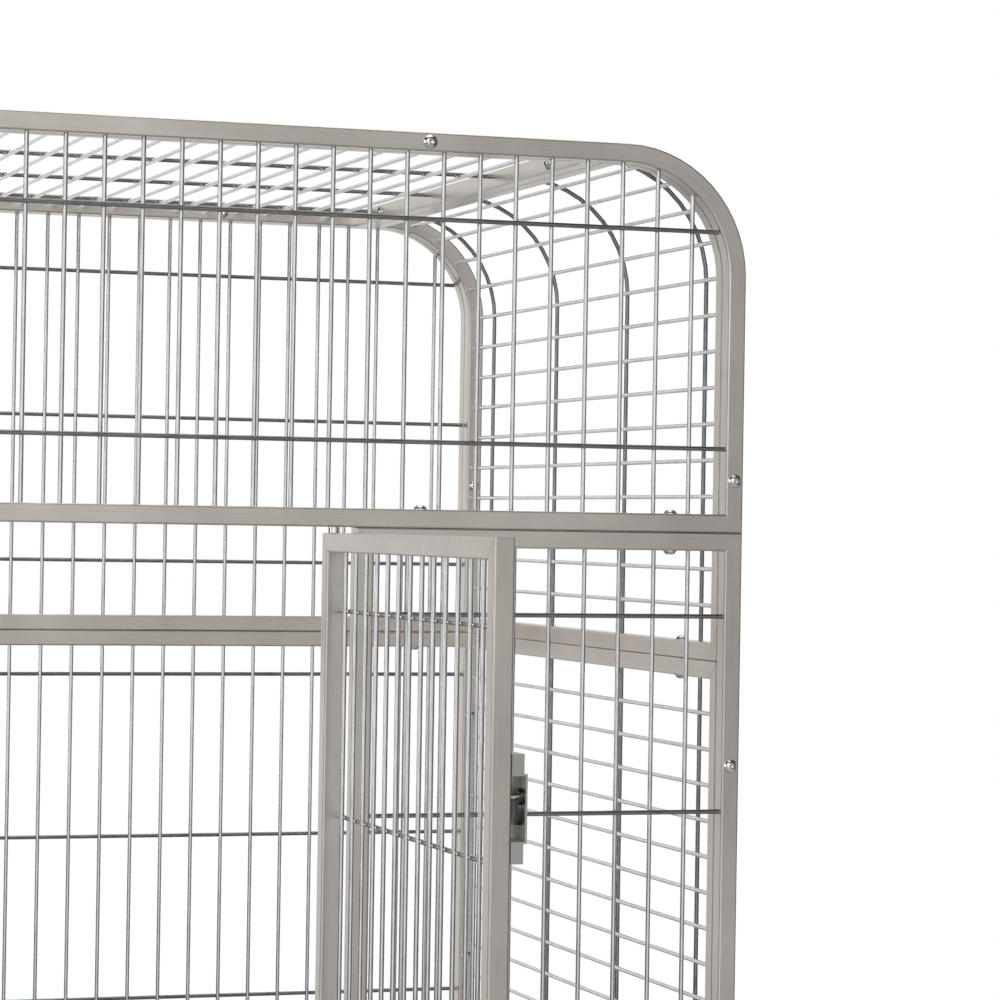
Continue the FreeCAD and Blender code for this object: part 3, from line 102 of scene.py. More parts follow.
# %% A collector for surfaces
class Shell:
    """Gathers closed surfaces and writes them as one mesh."""

    def __init__(self):
        self.points, self.corners, self.sizes = [], [], []
        self.map, self.normals, self.finishes = [], [], []
        self.count = self.finish = 0

    def add(self, points, faces, flat, normals):
        """points (n, 3); faces (f, s) indices; flat (f, s, 2) map; normals (f, s, 3)."""
        self.points.append(points)
        self.corners.append((faces + self.count).ravel())
        self.sizes.append(np.full(len(faces), faces.shape[1]))
        self.finishes.append(np.full(len(faces), self.finish))
        self.map.append(flat.reshape(-1, 2))
        self.normals.append(normals.reshape(-1, 3))
        self.count += len(points)

    def closed(self, rings, normals, along, around):
        """Rings (k, m, 3) joined into a tube, with a flat lid on each end.

        Face (i, j) joins ring i to ring i + 1 between points j and j + 1; the lids are the
        first and the last ring. A negative volume means inside out, and turns every face.
        """
        k, m, _ = rings.shape
        points = rings.reshape(-1, 3)
        i, j = np.meshgrid(np.arange(k - 1), np.arange(m), indexing="ij")
        after = (j + 1) % m
        faces = np.stack([i * m + j, i * m + after, (i + 1) * m + after, (i + 1) * m + j], -1)
        faces = faces.reshape(-1, 4)
        steps = ((i, j), (i, j + 1), (i + 1, j + 1), (i + 1, j))
        flat = np.stack([np.stack([along[a], around[b]], -1) for a, b in steps], -2).reshape(-1, 4, 2)
        a, b, c, d = (points[faces[:, q]] for q in range(4))
        centre = points.mean(0)
        sweep = np.cross(b - centre, c - centre) + np.cross(c - centre, d - centre)
        volume = np.einsum("ij,ij->", a - centre, sweep)
        turn = slice(None, None, 1 if volume > 0 else -1)
        wall_normals = normals.reshape(-1, 3)[faces]
        self.add(points, faces[:, turn], flat[:, turn], wall_normals[:, turn])
        far = m // 2
        for ring, neighbour in ((rings[0], rings[1]), (rings[-1], rings[-2])):
            ahead = ring.mean(0) - neighbour.mean(0)
            lid = np.arange(m)
            near_turn = np.cross(ring[1] - ring[0], ring[2] - ring[1])
            far_turn = np.cross(ring[far] - ring[0], ring[far + 1] - ring[far])
            if (near_turn + far_turn) @ ahead < 0:
                lid = lid[::-1]
            face_normal = ahead / (np.linalg.norm(ahead) + 1e-12)
            self.add(ring, lid[None], ring[lid][None, :, :2], np.broadcast_to(face_normal, (1, m, 3)))

    def write(self, name, smooth_angle=None):
        """One mesh, with the exact normals, or with edges over smooth_angle degrees kept sharp."""
        mesh = bpy.data.meshes.new(name)
        points = np.concatenate(self.points).astype(np.float32)
        loops = np.concatenate(self.corners).astype(np.int32)
        sizes = np.concatenate(self.sizes).astype(np.int32)
        starts = np.concatenate([[0], np.cumsum(sizes)[:-1]]).astype(np.int32)
        mesh.vertices.add(len(points))
        mesh.vertices.foreach_set("co", points.ravel())
        mesh.loops.add(len(loops))
        mesh.loops.foreach_set("vertex_index", loops)
        mesh.polygons.add(len(sizes))
        mesh.polygons.foreach_set("loop_start", starts)
        mesh.polygons.foreach_set("material_index", np.concatenate(self.finishes).astype(np.int32))
        mesh.update(calc_edges=True)
        layer = mesh.uv_layers.new(name="grain")
        layer.data.foreach_set("uv", np.concatenate(self.map).astype(np.float32).ravel())
        mesh.shade_smooth()
        if smooth_angle is None:
            mesh.normals_split_custom_set(np.concatenate(self.normals).astype(np.float32))
        else:
            mesh.set_sharp_from_angle(angle=math.radians(smooth_angle))
        mesh.validate()
        thing = bpy.data.objects.new(name, mesh)
        bpy.context.scene.collection.objects.link(thing)
        return thing


PIECES = []


def fit(thing, body, slot, finishes, *nodes):
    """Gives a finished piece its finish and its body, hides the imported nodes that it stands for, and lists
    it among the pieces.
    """
    for steel in finishes if isinstance(finishes, tuple) else (finishes,):
        thing.data.materials.append(steel)
    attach(thing, body)
    if nodes:
        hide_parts(*nodes)
    PIECES.append(thing.name)
    print(f"{thing.name}: {len(thing.data.polygons)} faces, rides on {body}")


# %% [markdown]
# ## Square tube
# The real stock is cold-drawn square tube with small round corners. Its section is worked out
# once: four quarter circles, walked round at even angles, so that the flats need no points of
# their own. The section is then carried along a path. At a mitre every point slides along the
# tube by its own distance from the outer side, which is exactly a cut at 45 degrees. The last
# few tenths of a millimetre shrink inwards, so that two tubes meet in a fine weld groove.


# %% Carry a square section along a path
def square_section(side, curve, steps=5):
    """Offsets (m, 2) and normals (m, 2): corner centre plus curve times (cos a, sin a)."""
    angles = (np.arange(4)[:, None] * 90 + np.linspace(0, 90, steps)[None]) * math.pi / 180
    normals = np.stack([np.cos(angles), np.sin(angles)], -1)
    middle = (side / 2 - curve) * np.array([[1, 1], [-1, 1], [-1, -1], [1, -1]])[:, None]
    return (middle + curve * normals).reshape(-1, 2), normals.reshape(-1, 2)


GROOVE = 0.0003  # how far a tube draws in at its cut ends


def distances(path):
    """How far along the path each point is: the running sum of the steps' lengths."""
    return np.concatenate([[0], np.cumsum(np.linalg.norm(np.diff(path, axis=0), axis=1))])


def square_tube(shell, path, across, mitres, side=TUBE, curve=TUBE_CURVE):
    """A tube whose section has one axis along across, and the other towards the inside.

    Point = path + a * across + b * inwards, where inwards = across x heading. An end cut "in"
    moves its points along the heading by b + side / 2, which is nought on the outer side. One cut
    "plus" or "minus" moves them by side / 2 plus or minus a, and "" is a square end.
    """
    path, across = np.asarray(path, float), np.asarray(across, float)
    heading = np.gradient(path, axis=0)
    heading[0], heading[-1] = path[1] - path[0], path[-1] - path[-2]
    heading /= np.linalg.norm(heading, axis=1, keepdims=True)
    run = distances(path)
    ends = [path[0] + heading[0] * GROOVE, path[-1] - heading[-1] * GROOVE]
    path = np.concatenate([path[:1], ends[:1], path[1:-1], ends[1:], path[-1:]])
    heading = np.concatenate([heading[:1], heading[:1], heading[1:-1], heading[-1:], heading[-1:]])
    run = np.concatenate([run[:1], [GROOVE], run[1:-1], [run[-1] - GROOVE], run[-1:]])
    inwards = np.cross(across, heading)
    offsets, outward = square_section(side, curve)
    shrink = np.zeros(len(path))
    shrink[[0, -1]] = GROOVE
    a = offsets[None, :, 0] - shrink[:, None] * outward[None, :, 0]
    b = offsets[None, :, 1] - shrink[:, None] * outward[None, :, 1]
    slide = np.zeros_like(b)
    cuts = {"": np.zeros_like(b), "in": b + side / 2, "plus": side / 2 + a, "minus": side / 2 - a}
    slide[:2] = cuts[mitres[0]][:2]
    slide[-2:] = -cuts[mitres[1]][-2:]
    rings = path[:, None] + a[..., None] * across + b[..., None] * inwards[:, None]
    rings = rings + slide[..., None] * heading[:, None]
    normals = outward[None, :, :1] * across + outward[None, :, 1:] * inwards[:, None]
    round_run = distances(np.concatenate([offsets, offsets[:1]]))
    along, around = run + SHUFFLE.uniform(0, GRAIN_SHIFT), round_run + SHUFFLE.uniform(0, GRAIN_SHIFT)
    shell.closed(rings, normals, along, around)


def straight(shell, start, end, across, mitres=("in", "in"), **stock):
    """A straight tube between two ends of its centre line, outer length."""
    square_tube(shell, [start, (np.asarray(start) + end) / 2, end], across, mitres, **stock)


def rectangle(shell, corner, wide, high, u, v, side=TUBE, curve=TUBE_CURVE):
    """Four mitred tubes; corner is the outer corner, u and v the directions of the two sides."""
    corner, half = np.asarray(corner, float), side / 2
    across = np.cross(u, v)
    ends = [(corner + v * half, u, wide), (corner + u * (wide - half), v, high),
            (corner + u * wide + v * (high - half), -u, wide), (corner + u * half + v * high, -v, high)]
    for start, heading, length in ends:
        straight(shell, start, start + heading * length, across, side=side, curve=curve)


def arch_path(low_z, y):
    """Up the left side, round the roof's bend, across, and down the right side."""
    turn = np.linspace(0, math.pi / 2, BEND_RINGS)
    centre = HALF_WIDTH - TUBE / 2 - BEND
    top = ROOF_Z - TUBE / 2 - BEND
    across = -centre - BEND * np.cos(turn)
    left = np.stack([across, np.full(BEND_RINGS, y), top + BEND * np.sin(turn)], -1)
    right = left[::-1] * [-1, 1, 1]
    start, end = np.array([[-SIDE_X, y, low_z]]), np.array([[SIDE_X, y, low_z]])
    return np.concatenate([start, left, right, end])


# %% [markdown]
# ## Bars and cross wires
# A bar is a cylinder, and there are hundreds, so each has only fourteen sides, worked out as one
# array. The wires lie on the outside of the bars, and a small bead fills the corner at each
# crossing, as resistance welding leaves it. The bars of a panel go into one mesh, where the
# wires have a second finish: the same steel, but with a painted dark reflection for a colour.


# %% Round bars, wires and weld beads
SLANT = [0.31, 0.52, 0.79]  # a direction that no bar or bolt has, to find one square to the axis


def spokes_round(axis, sides):
    """Unit spokes (sides, 3) square to an axis: cos a * p + sin a * q."""
    p = np.cross(axis, SLANT)
    p /= np.linalg.norm(p)
    q = np.cross(axis, p)
    angles = np.linspace(0, 2 * math.pi, sides, endpoint=False)
    return np.cos(angles)[:, None] * p + np.sin(angles)[:, None] * q


def rods(shell, starts, ends, radius=BAR, sides=14):
    """Cylinders: point = end + radius * (cos a * p + sin a * q), p and q square to the axis."""
    for start, end in zip(np.atleast_2d(starts), np.atleast_2d(ends)):
        axis = (end - start) / np.linalg.norm(end - start)
        spokes = spokes_round(axis, sides)
        rings = np.stack([start + radius * spokes, end + radius * spokes])
        along = np.array([0, np.linalg.norm(end - start)]) + SHUFFLE.uniform(0, GRAIN_SHIFT)
        around = np.linspace(0, 2 * math.pi * radius, sides + 1)
        shell.closed(rings, np.broadcast_to(spokes, (2, sides, 3)), along, around)


def bent_rod(shell, path, radius=BAR, sides=10):
    """A bar carried along a bent path: point = path + radius * (cos a * side + sin a * q)."""
    path = np.asarray(path, float)
    heading = np.gradient(path, axis=0)
    heading /= np.linalg.norm(heading, axis=1, keepdims=True)
    side = np.cross(heading[0], heading[len(heading) // 2] - heading[0])
    side /= np.linalg.norm(side)
    q = np.cross(heading, side)
    q /= np.linalg.norm(q, axis=1, keepdims=True)
    angles = np.linspace(0, 2 * math.pi, sides, endpoint=False)
    spokes = np.cos(angles)[None, :, None] * side + np.sin(angles)[None, :, None] * q[:, None]
    around = np.linspace(0, 2 * math.pi * radius, sides + 1)
    shell.closed(path[:, None] + radius * spokes, spokes, distances(path), around)


BEAD_LONG, BEAD_PROUD, BEAD_WIDE = 0.0026, 0.0011, 0.0019  # half sizes of a weld bead
BEAD_TIP = 0.15  # angle left off at each end, where the lid goes


def beads(shell, centres, long_axis, out_axis):
    """Weld beads: length * cos t along the long axis, and spokes * sin t round it."""
    third = np.cross(long_axis, out_axis)
    turn = np.linspace(BEAD_TIP, math.pi - BEAD_TIP, 5)
    angles = np.linspace(0, 2 * math.pi, 8, endpoint=False)
    spokes = BEAD_PROUD * np.cos(angles)[:, None] * out_axis + BEAD_WIDE * np.sin(angles)[:, None] * third
    shape = BEAD_LONG * np.cos(turn)[:, None, None] * long_axis + np.sin(turn)[:, None, None] * spokes
    normals = shape / np.linalg.norm(shape, axis=-1, keepdims=True)
    for centre in centres:
        shell.closed(centre + shape, normals, turn * 0.003, np.linspace(0, 0.006, 9))


def even(length, pitch=PITCH):
    """Distances of evenly spaced bars inside a length."""
    count = max(2, round(length / pitch))
    return np.arange(1, count) * length / count


def welded_grid(shell, corner, wide, high, u, v, out, first, last, wires, pitch=PITCH,
                bar_top=None, wire_trim=None):
    """Bars along v spaced along u, and wires along u on the side that out points to.

    bar_top(s) gives a bar's far end, and wire_trim(s) how much a wire loses at both ends.
    """
    corner, steps = np.asarray(corner, float), even(wide, pitch)
    tops = np.array([bar_top(s) if bar_top else high for s in steps])
    starts = corner + steps[:, None] * u
    rods(shell, starts, starts + tops[:, None] * v)
    for row in np.linspace(first, high - last, wires):
        trim = wire_trim(row) if wire_trim else 0
        shell.finish = 1
        level = corner + row * v + WELD * out
        rods(shell, level + trim * u, level + (wide - trim) * u)
        crossed = steps[(steps > trim) & (steps < wide - trim) & (tops >= row - BAR)]
        shell.finish = 0
        beads(shell, corner + row * v + crossed[:, None] * u + WELD / 2 * out, u, out)


def under_bend(distance):
    """What the arch takes off a bar at this distance from the inside of the side tube."""
    inner = BEND - TUBE / 2
    reach = max(0.0, inner + BAR - distance)
    return inner - math.sqrt(max(0.0, inner ** 2 - reach ** 2))


# %% Turned parts
def turned(shell, centre, axis, profile, sides):
    """A profile of (radius, height) points spun round an axis: centre + h * axis + r * spoke."""
    profile = np.asarray(profile, float)
    spokes = spokes_round(axis, sides)
    rings = np.asarray(centre) + profile[:, None, 1:] * axis + profile[:, None, :1] * spokes
    around = np.linspace(0, 2 * math.pi * profile[:, 0].max(), sides + 1)
    shell.closed(rings, np.broadcast_to(spokes, rings.shape), distances(profile), around)


# %% [markdown]
# ## Finishes
# The frame is satin tube, brushed along its length: long thin scratches, and slow warm and cool
# patches as the stock comes from the mill. The bars are polished. A few lines of Python let a
# finish be written as sums, and each finish is then a short recipe.


# %% Shader sums
class Wire:
    """A socket that can be added, multiplied and so on; each sum becomes a Math node."""

    def __init__(self, maker, socket):
        self.maker, self.socket = maker, socket

    def sum(self, operation, first, second):
        return self.maker.node("ShaderNodeMath", {"operation": operation}, {0: first, 1: second})

    def __add__(self, other):
        return self.sum("ADD", self, other)

    def __radd__(self, other):
        return self.sum("ADD", other, self)

    def __sub__(self, other):
        return self.sum("SUBTRACT", self, other)

    def __rsub__(self, other):
        return self.sum("SUBTRACT", other, self)

    def __mul__(self, other):
        return self.sum("MULTIPLY", self, other)

    def __rmul__(self, other):
        return self.sum("MULTIPLY", other, self)


class Finish:
    """One material: a Principled shader and the nodes that feed it."""

    def __init__(self, name, **constant):
        self.material = bpy.data.materials.new(name)
        self.material.use_nodes = True
        self.tree = self.material.node_tree
        self.shader = self.tree.nodes["Principled BSDF"]
        for socket, value in constant.items():
            self.shader.inputs[socket.replace("_", " ")].default_value = value

    def node(self, kind, settings=None, sockets=None, out=0):
        """Any node: its type, its settings, then the values or links of its sockets."""
        made = self.tree.nodes.new(kind)
        for key, value in (settings or {}).items():
            if key == "stops":
                for stop, (place, colour) in zip(made.color_ramp.elements, value):
                    stop.position, stop.color = place, (*colour, 1)
            else:
                setattr(made, key, value)
        for key, value in (sockets or {}).items():
            if isinstance(value, Wire):
                self.tree.links.new(value.socket, made.inputs[key])
            else:
                made.inputs[key].default_value = value
        return Wire(self, made.outputs[out])

    def feed(self, **links):
        for socket, wire in links.items():
            self.tree.links.new(wire.socket, self.shader.inputs[socket.replace("_", " ")])

    def noise(self, place, stretch, scale=1, detail=3, roughness=0.55):
        """Noise on a stretched place; stretch is how many grains fit in a metre each way."""
        moved = self.node("ShaderNodeMapping", {}, {"Vector": place, "Scale": stretch})
        return self.node("ShaderNodeTexNoise", {}, {"Vector": moved, "Scale": scale, "Detail": detail,
                                                   "Roughness": roughness})

    def tint(self, amount, dark, light, low=0.3, high=0.7):
        return self.node("ShaderNodeValToRGB", {"stops": [(low, dark), (high, light)]}, {"Fac": amount})

    def bump(self, height, strength, distance):
        return self.node("ShaderNodeBump", {}, {"Height": height, "Strength": strength, "Distance": distance})


# %% [markdown]
# ## Metals and mouldings
# On bare steel the colour hardly changes, so the roughness does the work. A brushed sheet has
# scratches far longer than wide: noise stretched along one axis. On the tubes it follows the
# flat map, because each tube is brushed along its own length. Other parts use their own place.

# %% Recipes for the metals
ALONG, ALONG_FINE = 14, 45  # scratches and hairs in a metre of length
PATCH, SPOT = 7, 60  # mill patches and handled spots in a metre
DRAWN = (25, 3200, 3200)  # drawing marks on wire, along and across
WIRE_DIE, DUST = 0.0001, 45


def grain_place(finish):
    """The flat map of tubes and bars, in metres."""
    return finish.node("ShaderNodeUVMap", {"uv_map": "grain"})


def object_place(finish):
    """The piece's own coordinates, in metres."""
    return finish.node("ShaderNodeTexCoord", out=3)


def brushed(name, place, along, dark, light, rough=0.3, streak=0.16, bump=0.18,
            coarse=2600, fine=9000):
    """Long scratches: roughness = rough + streak * scratches + a little for handling marks."""
    finish = Finish(name, Metallic=1.0)
    where = place(finish)
    lie = [coarse if axis != along else ALONG for axis in range(3)]
    thin = [fine if axis != along else ALONG_FINE for axis in range(3)]
    scratches = finish.noise(where, lie, detail=4)
    hairs = finish.noise(where, thin, detail=2)
    patches = finish.noise(object_place(finish), (PATCH,) * 3, detail=5)
    both = scratches * 0.6 + hairs * 0.4
    finish.feed(Base_Color=finish.tint(both * 0.55 + patches * 0.45, dark, light, 0.36, 0.62),
                Roughness=both * streak + (rough - streak / 2) + (patches - 0.5) * 0.16,
                Normal=finish.bump(both, bump, 0.0002))
    print(name, "is brushed")
    return finish.material


def polished(name, place, dark, light, rough=0.12, spread=0.12, bump=0.06):
    """Polished wire: faint drawing marks along it, and dull spots where it was handled."""
    finish = Finish(name, Metallic=1.0)
    where = place(finish)
    drawn = finish.noise(where, DRAWN, detail=3)
    spots = finish.noise(object_place(finish), (SPOT,) * 3, detail=5)
    finish.feed(Base_Color=finish.tint(drawn * 0.5 + spots * 0.5, dark, light, 0.35, 0.65),
                Roughness=drawn * spread + rough - spread / 2 + (spots - 0.5) * 0.1,
                Normal=finish.bump(drawn, bump, WIRE_DIE))
    print(name, "is polished")
    return finish.material


# %% The cage's finishes
TUBE_STEEL = brushed("brushed_tube_steel", grain_place, 0, (0.50, 0.462, 0.425), (0.74, 0.69, 0.635))
BAR_STEEL = polished("polished_bar_steel", grain_place, (0.56, 0.57, 0.58), (0.78, 0.78, 0.78), 0.13)
# The wires are the same steel as the bars. Their dark colour is a painted dark reflection that stands in for
# the dark room they mirror.
WIRE_STEEL_PAINTED_DARK_REFLECTION = polished("drawn_wire_painted_dark_reflection", grain_place, (0.20, 0.20, 0.20), (0.36, 0.36, 0.35), 0.2)
GRID_STEEL = (BAR_STEEL, WIRE_STEEL_PAINTED_DARK_REFLECTION)
CAST_BAR = polished("polished_formed_steel", object_place, (0.62, 0.62, 0.62), (0.82, 0.82, 0.81))
FASTENER = polished("bright_fastener_steel", object_place, (0.66, 0.66, 0.66), (0.86, 0.86, 0.86), 0.1, 0.08)
LATCH_STEEL = brushed("satin_latch_sheet", object_place, 2, (0.44, 0.43, 0.41), (0.62, 0.61, 0.59),
                      0.36, 0.14)
SHEET_STEEL = brushed("rolled_sheet_steel", object_place, 0, (0.52, 0.51, 0.49), (0.68, 0.67, 0.65),
                      0.34, 0.16, 0.12, 900, 4000)
BOWL_STEEL = polished("spun_bowl_steel", object_place, (0.66, 0.66, 0.66), (0.82, 0.82, 0.81), 0.14)
CASTOR_STEEL = brushed("zinc_castor_plate", object_place, 2, (0.48, 0.50, 0.52), (0.68, 0.69, 0.70),
                       0.36, 0.12, 0.1, 700, 3000)


def moulded(name, dark, light, rough, scale):
    """Moulded rubber or plastic: fine orange peel, and dust in random patches."""
    finish = Finish(name, Metallic=0.0)
    peel = finish.noise(object_place(finish), (scale,) * 3, detail=4)
    dust = finish.noise(object_place(finish), (DUST,) * 3, detail=5)
    finish.feed(Base_Color=finish.tint(dust, dark, light, 0.4, 0.75), Roughness=dust * 0.25 + rough,
                Normal=finish.bump(peel, 0.25, 0.0004))
    print(name, "is moulded")
    return finish.material


TYRE_RUBBER = moulded("grey_tyre_rubber", (0.055, 0.055, 0.06), (0.13, 0.13, 0.13), 0.5, 900)
HUB_NYLON = moulded("grey_nylon_centre", (0.10, 0.10, 0.105), (0.20, 0.20, 0.20), 0.35, 500)
SCREW_STEEL = polished("bright_screw_steel", object_place, (0.62, 0.62, 0.62), (0.84, 0.84, 0.84), 0.1, 0.08)
# The latch tongue sits in the hollow of the latch housing. Its near-black colour is painted shade for the
# shadow inside that hollow, not a blackened finish.
LATCH_TONGUE_PAINTED_SHADE = brushed("latch_tongue_painted_hollow_shade", object_place, 2, (0.05, 0.05, 0.05),
                     (0.14, 0.135, 0.13), 0.3, 0.12)

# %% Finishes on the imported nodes
SLOT_FINISH = {"tube": CAST_BAR, "bar": CAST_BAR, "fastener": FASTENER, "latch": LATCH_STEEL,
               "bowl": BOWL_STEEL, "sheet": SHEET_STEEL, "castor_steel": CASTOR_STEEL,
               "castor_wheel": TYRE_RUBBER}
# The tongues get the near-black painted shade of the latch hollow.
NODE_FINISH = {"upper_latch_tongue": LATCH_TONGUE_PAINTED_SHADE, "lower_latch_tongue": LATCH_TONGUE_PAINTED_SHADE}
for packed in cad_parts.values():
    for place in packed.material_slots:
        for slot_name, steel in SLOT_FINISH.items():
            if place.material and place.material.name.split(".")[0] == slot_name:
                place.material = steel
                break
for node, steel in NODE_FINISH.items():
    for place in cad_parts[node].material_slots:
        place.material = steel

# %% [markdown]
# ## The front
# The front is two panels on top of each other. The lower one has two bays beside the doorway,
# and the upper one is an arch whose tube is bent in one piece. Heads, jambs, sill and posts
# are mitred and welded, and the seam between the panels stays open as a fine dark line.

# %% Lower front panel
front = Shell()
half = TUBE / 2
sill, head, jamb = SILL_Z + half, SEAM_Z - half, JAMB + half
for x_from, z_from, x_to, z_to, ends in (
        (-HALF_WIDTH, sill, HALF_WIDTH, sill, ("in", "in")),
        (SIDE_X, SILL_Z, SIDE_X, SEAM_Z, ("in", "in")),
        (HALF_WIDTH, head, JAMB, head, ("in", "in")),
        (jamb, SEAM_Z, jamb, SILL_Z + TUBE, ("in", "")),
        (-jamb, SILL_Z + TUBE, -jamb, SEAM_Z, ("", "in")),
        (-JAMB, head, -HALF_WIDTH, head, ("in", "in")),
        (-SIDE_X, SEAM_Z, -SIDE_X, SILL_Z, ("in", "in"))):
    straight(front, [x_from, FRONT_Y, z_from], [x_to, FRONT_Y, z_to], -Y, ends)
fit(front.write("lower_front_panel_tube"), "cage", "tube", TUBE_STEEL, "front_lower_frame")

# %% Rails and arches
for name, y, rail_z in (("front", FRONT_Y, SEAM_Z + half), ("back", BACK_Y, SIDE_SEAM_Z + half)):
    rail = Shell()
    straight(rail, [-HALF_WIDTH, y, rail_z], [HALF_WIDTH, y, rail_z], -Y)
    fit(rail.write(name + "_seam_rail"), "cage", "tube", TUBE_STEEL, name + "_upper_rail")
    arch = Shell()
    square_tube(arch, arch_path(corners(name + "_arch")[0][2], y), Y, ("in", "in"))
    fit(arch.write(name + "_bent_arch"), "cage", "tube", TUBE_STEEL, name + "_arch")

# %% [markdown]
# ## The flat panels
# The lower back, the sides and the roof are plain frames: four mitred tubes each. The same
# rectangle makes them all, turned by the two directions that it is given.

# %% Back, sides and roof frames
back = Shell()
rectangle(back, [-HALF_WIDTH, BACK_Y, BASE_Z], 2 * HALF_WIDTH, SIDE_SEAM_Z - BASE_Z, X, Z)
fit(back.write("lower_back_panel_tube"), "cage", "tube", TUBE_STEEL, "back_lower_frame")
for word, sign in (("right", 1), ("left", -1)):
    side = Shell()
    rectangle(side, [sign * SIDE_X, DEPTH_LOW, BASE_Z], DEPTH, SIDE_SEAM_Z - BASE_Z, Y, Z)
    fit(side.write(word + "_side_panel_tube"), "cage", "tube", TUBE_STEEL, word + "_side_frame")
roof_low, roof_high = corners("roof_frame")
roof, roof_span = Shell(), roof_high[0] - roof_low[0]
rectangle(roof, [roof_low[0], DEPTH_LOW, ROOF_Z - half], roof_span, DEPTH, X, Y)
fit(roof.write("roof_panel_tube"), "cage", "tube", TUBE_STEEL, "roof_frame")

# %% [markdown]
# ## The shoulders
# Between each side panel and the roof sits a panel rolled to the arch's own bend. Its two end
# tubes are bent, and its level bars march round the curve, so one helper gives a point at any
# distance up the wall and round the bend.


# %% Rolled shoulder panels
BEND_X, BEND_Z = HALF_WIDTH - half - BEND, ROOF_Z - half - BEND
WALL = BEND_Z - SIDE_SEAM_Z
SHOULDER_RUN = WALL + BEND * math.pi / 2


def round_shoulder(s, sign, y, extra=0.0):
    """Straight up the wall, then round: x = centre + r cos a, z = centre + r sin a."""
    s = np.asarray(s, float)
    turn = np.clip((s - WALL) / BEND, 0, math.pi / 2)
    past = np.maximum(s - WALL - BEND * math.pi / 2, 0)
    x = BEND_X + (BEND + extra) * np.cos(turn) - past
    z = np.where(s < WALL, SIDE_SEAM_Z + s, BEND_Z + (BEND + extra) * np.sin(turn))
    return np.stack([sign * x, np.broadcast_to(y, x.shape), z], -1)


bend_steps = np.concatenate([[0], np.linspace(WALL, SHOULDER_RUN, BEND_RINGS), [SHOULDER_RUN + TUBE]])
for word, sign in (("right", 1), ("left", -1)):
    shoulder = Shell()
    for end in (-1, 1):
        y = end * (DEPTH / 2 - half)
        cut = "minus" if end > 0 else "plus"
        square_tube(shoulder, round_shoulder(bend_steps, sign, y), Y, (cut, cut))
    for x, z, inside in ((SIDE_X, SIDE_SEAM_Z + half, Z), (BEND_X - half, ROOF_Z - half, X * sign)):
        straight(shoulder, [sign * x, DEPTH_LOW, z], [sign * x, DEPTH_HIGH, z], np.cross(Y, inside))
    fit(shoulder.write(word + "_shoulder_tube"), "cage", "tube", TUBE_STEEL, word + "_hip_frame")
    bars = Shell()
    stations = TUBE + even(SHOULDER_RUN - TUBE)
    inner = DEPTH / 2 - TUBE
    rods(bars, round_shoulder(stations, sign, -inner), round_shoulder(stations, sign, inner))
    wire_steps = np.concatenate([[TUBE], np.linspace(WALL, SHOULDER_RUN, 12)])
    for y in np.linspace(-inner + DEPTH_INSET, inner - DEPTH_INSET, 4):
        bars.finish = 1
        bent_rod(bars, round_shoulder(wire_steps, sign, y, WELD))
        bars.finish = 0
        for s in stations:
            spot, off = (round_shoulder([s], sign, y, proud)[0] for proud in (0, WELD))
            out = (off - spot) / np.linalg.norm(off - spot) if s > WALL else X * sign
            beads(bars, [spot + WELD / 2 * out], np.cross(Y, out), out)
    fit(bars.write(word + "_shoulder_bars"), "cage", "bar", GRID_STEEL, word + "_hip_bars")

# %% [markdown]
# ## The bar grids
# Every grid is the same job: polished bars one way, cross wires on the outside the other way,
# and a bead of weld at each crossing.

# %% Upper grids, front and back
GRID_WIDTH = 2 * (HALF_WIDTH - TUBE)
ARCH_TOP = ROOF_Z - TUBE


def bar_under_arch(foot_z):
    """A bar stops at the arch: it loses what the bend takes off at its distance from a side."""
    return lambda s: ARCH_TOP - foot_z - under_bend(min(s, GRID_WIDTH - s))


def wire_in_arch(foot_z):
    """A wire loses at each end what the bend takes: inner - root(inner squared - rise squared)."""
    inner = BEND - half
    return lambda row: inner - math.sqrt(inner ** 2 - max(0.0, foot_z + row + BAR - BEND_Z) ** 2)


for word, y, wires, out in (("front", FRONT_Y, 2, -Y), ("back", BACK_Y, 3, Y)):
    foot_z = corners(word + "_upper_bars")[0][2]
    grid = Shell()
    welded_grid(grid, [-GRID_WIDTH / 2, y, foot_z], GRID_WIDTH, ARCH_TOP - foot_z, X, Z, out,
                FRONT_INSET, FRONT_INSET, wires, bar_top=bar_under_arch(foot_z),
                wire_trim=wire_in_arch(foot_z))
    fit(grid.write(word + "_arch_bars"), "cage", "bar", GRID_STEEL, word + "_upper_bars")

# %% Back, side and roof grids
low_height, inner_depth = SIDE_SEAM_Z - BASE_Z - 2 * TUBE, DEPTH - 2 * TUBE
grid = Shell()
welded_grid(grid, [-GRID_WIDTH / 2, BACK_Y, BASE_Z + TUBE], GRID_WIDTH, low_height, X, Z, Y,
            LOW_INSET, LOW_INSET, 4)
fit(grid.write("lower_back_bars"), "cage", "bar", GRID_STEEL, "back_lower_bars")
for word, sign in (("right", 1), ("left", -1)):
    grid = Shell()
    welded_grid(grid, [sign * SIDE_X, DEPTH_LOW + TUBE, BASE_Z + TUBE], low_height, inner_depth,
                Z, Y, sign * X, DEPTH_INSET, DEPTH_INSET, 4)
    fit(grid.write(word + "_side_level_bars"), "cage", "bar", GRID_STEEL, word + "_side_bars")
grid = Shell()
roof_width = roof_span - 2 * TUBE
welded_grid(grid, [-roof_width / 2, DEPTH_LOW + TUBE, ROOF_Z - half], roof_width, inner_depth,
            X, Y, Z, DEPTH_INSET, DEPTH_INSET, 4)
fit(grid.write("roof_grid_bars"), "cage", "bar", GRID_STEEL, "roof_bars")

# %% [markdown]
# ## The bays beside the door
# These are grids too, but five bars are left out between two wires for the feeder door, so the
# bars are picked with a mask and made in up to three runs.

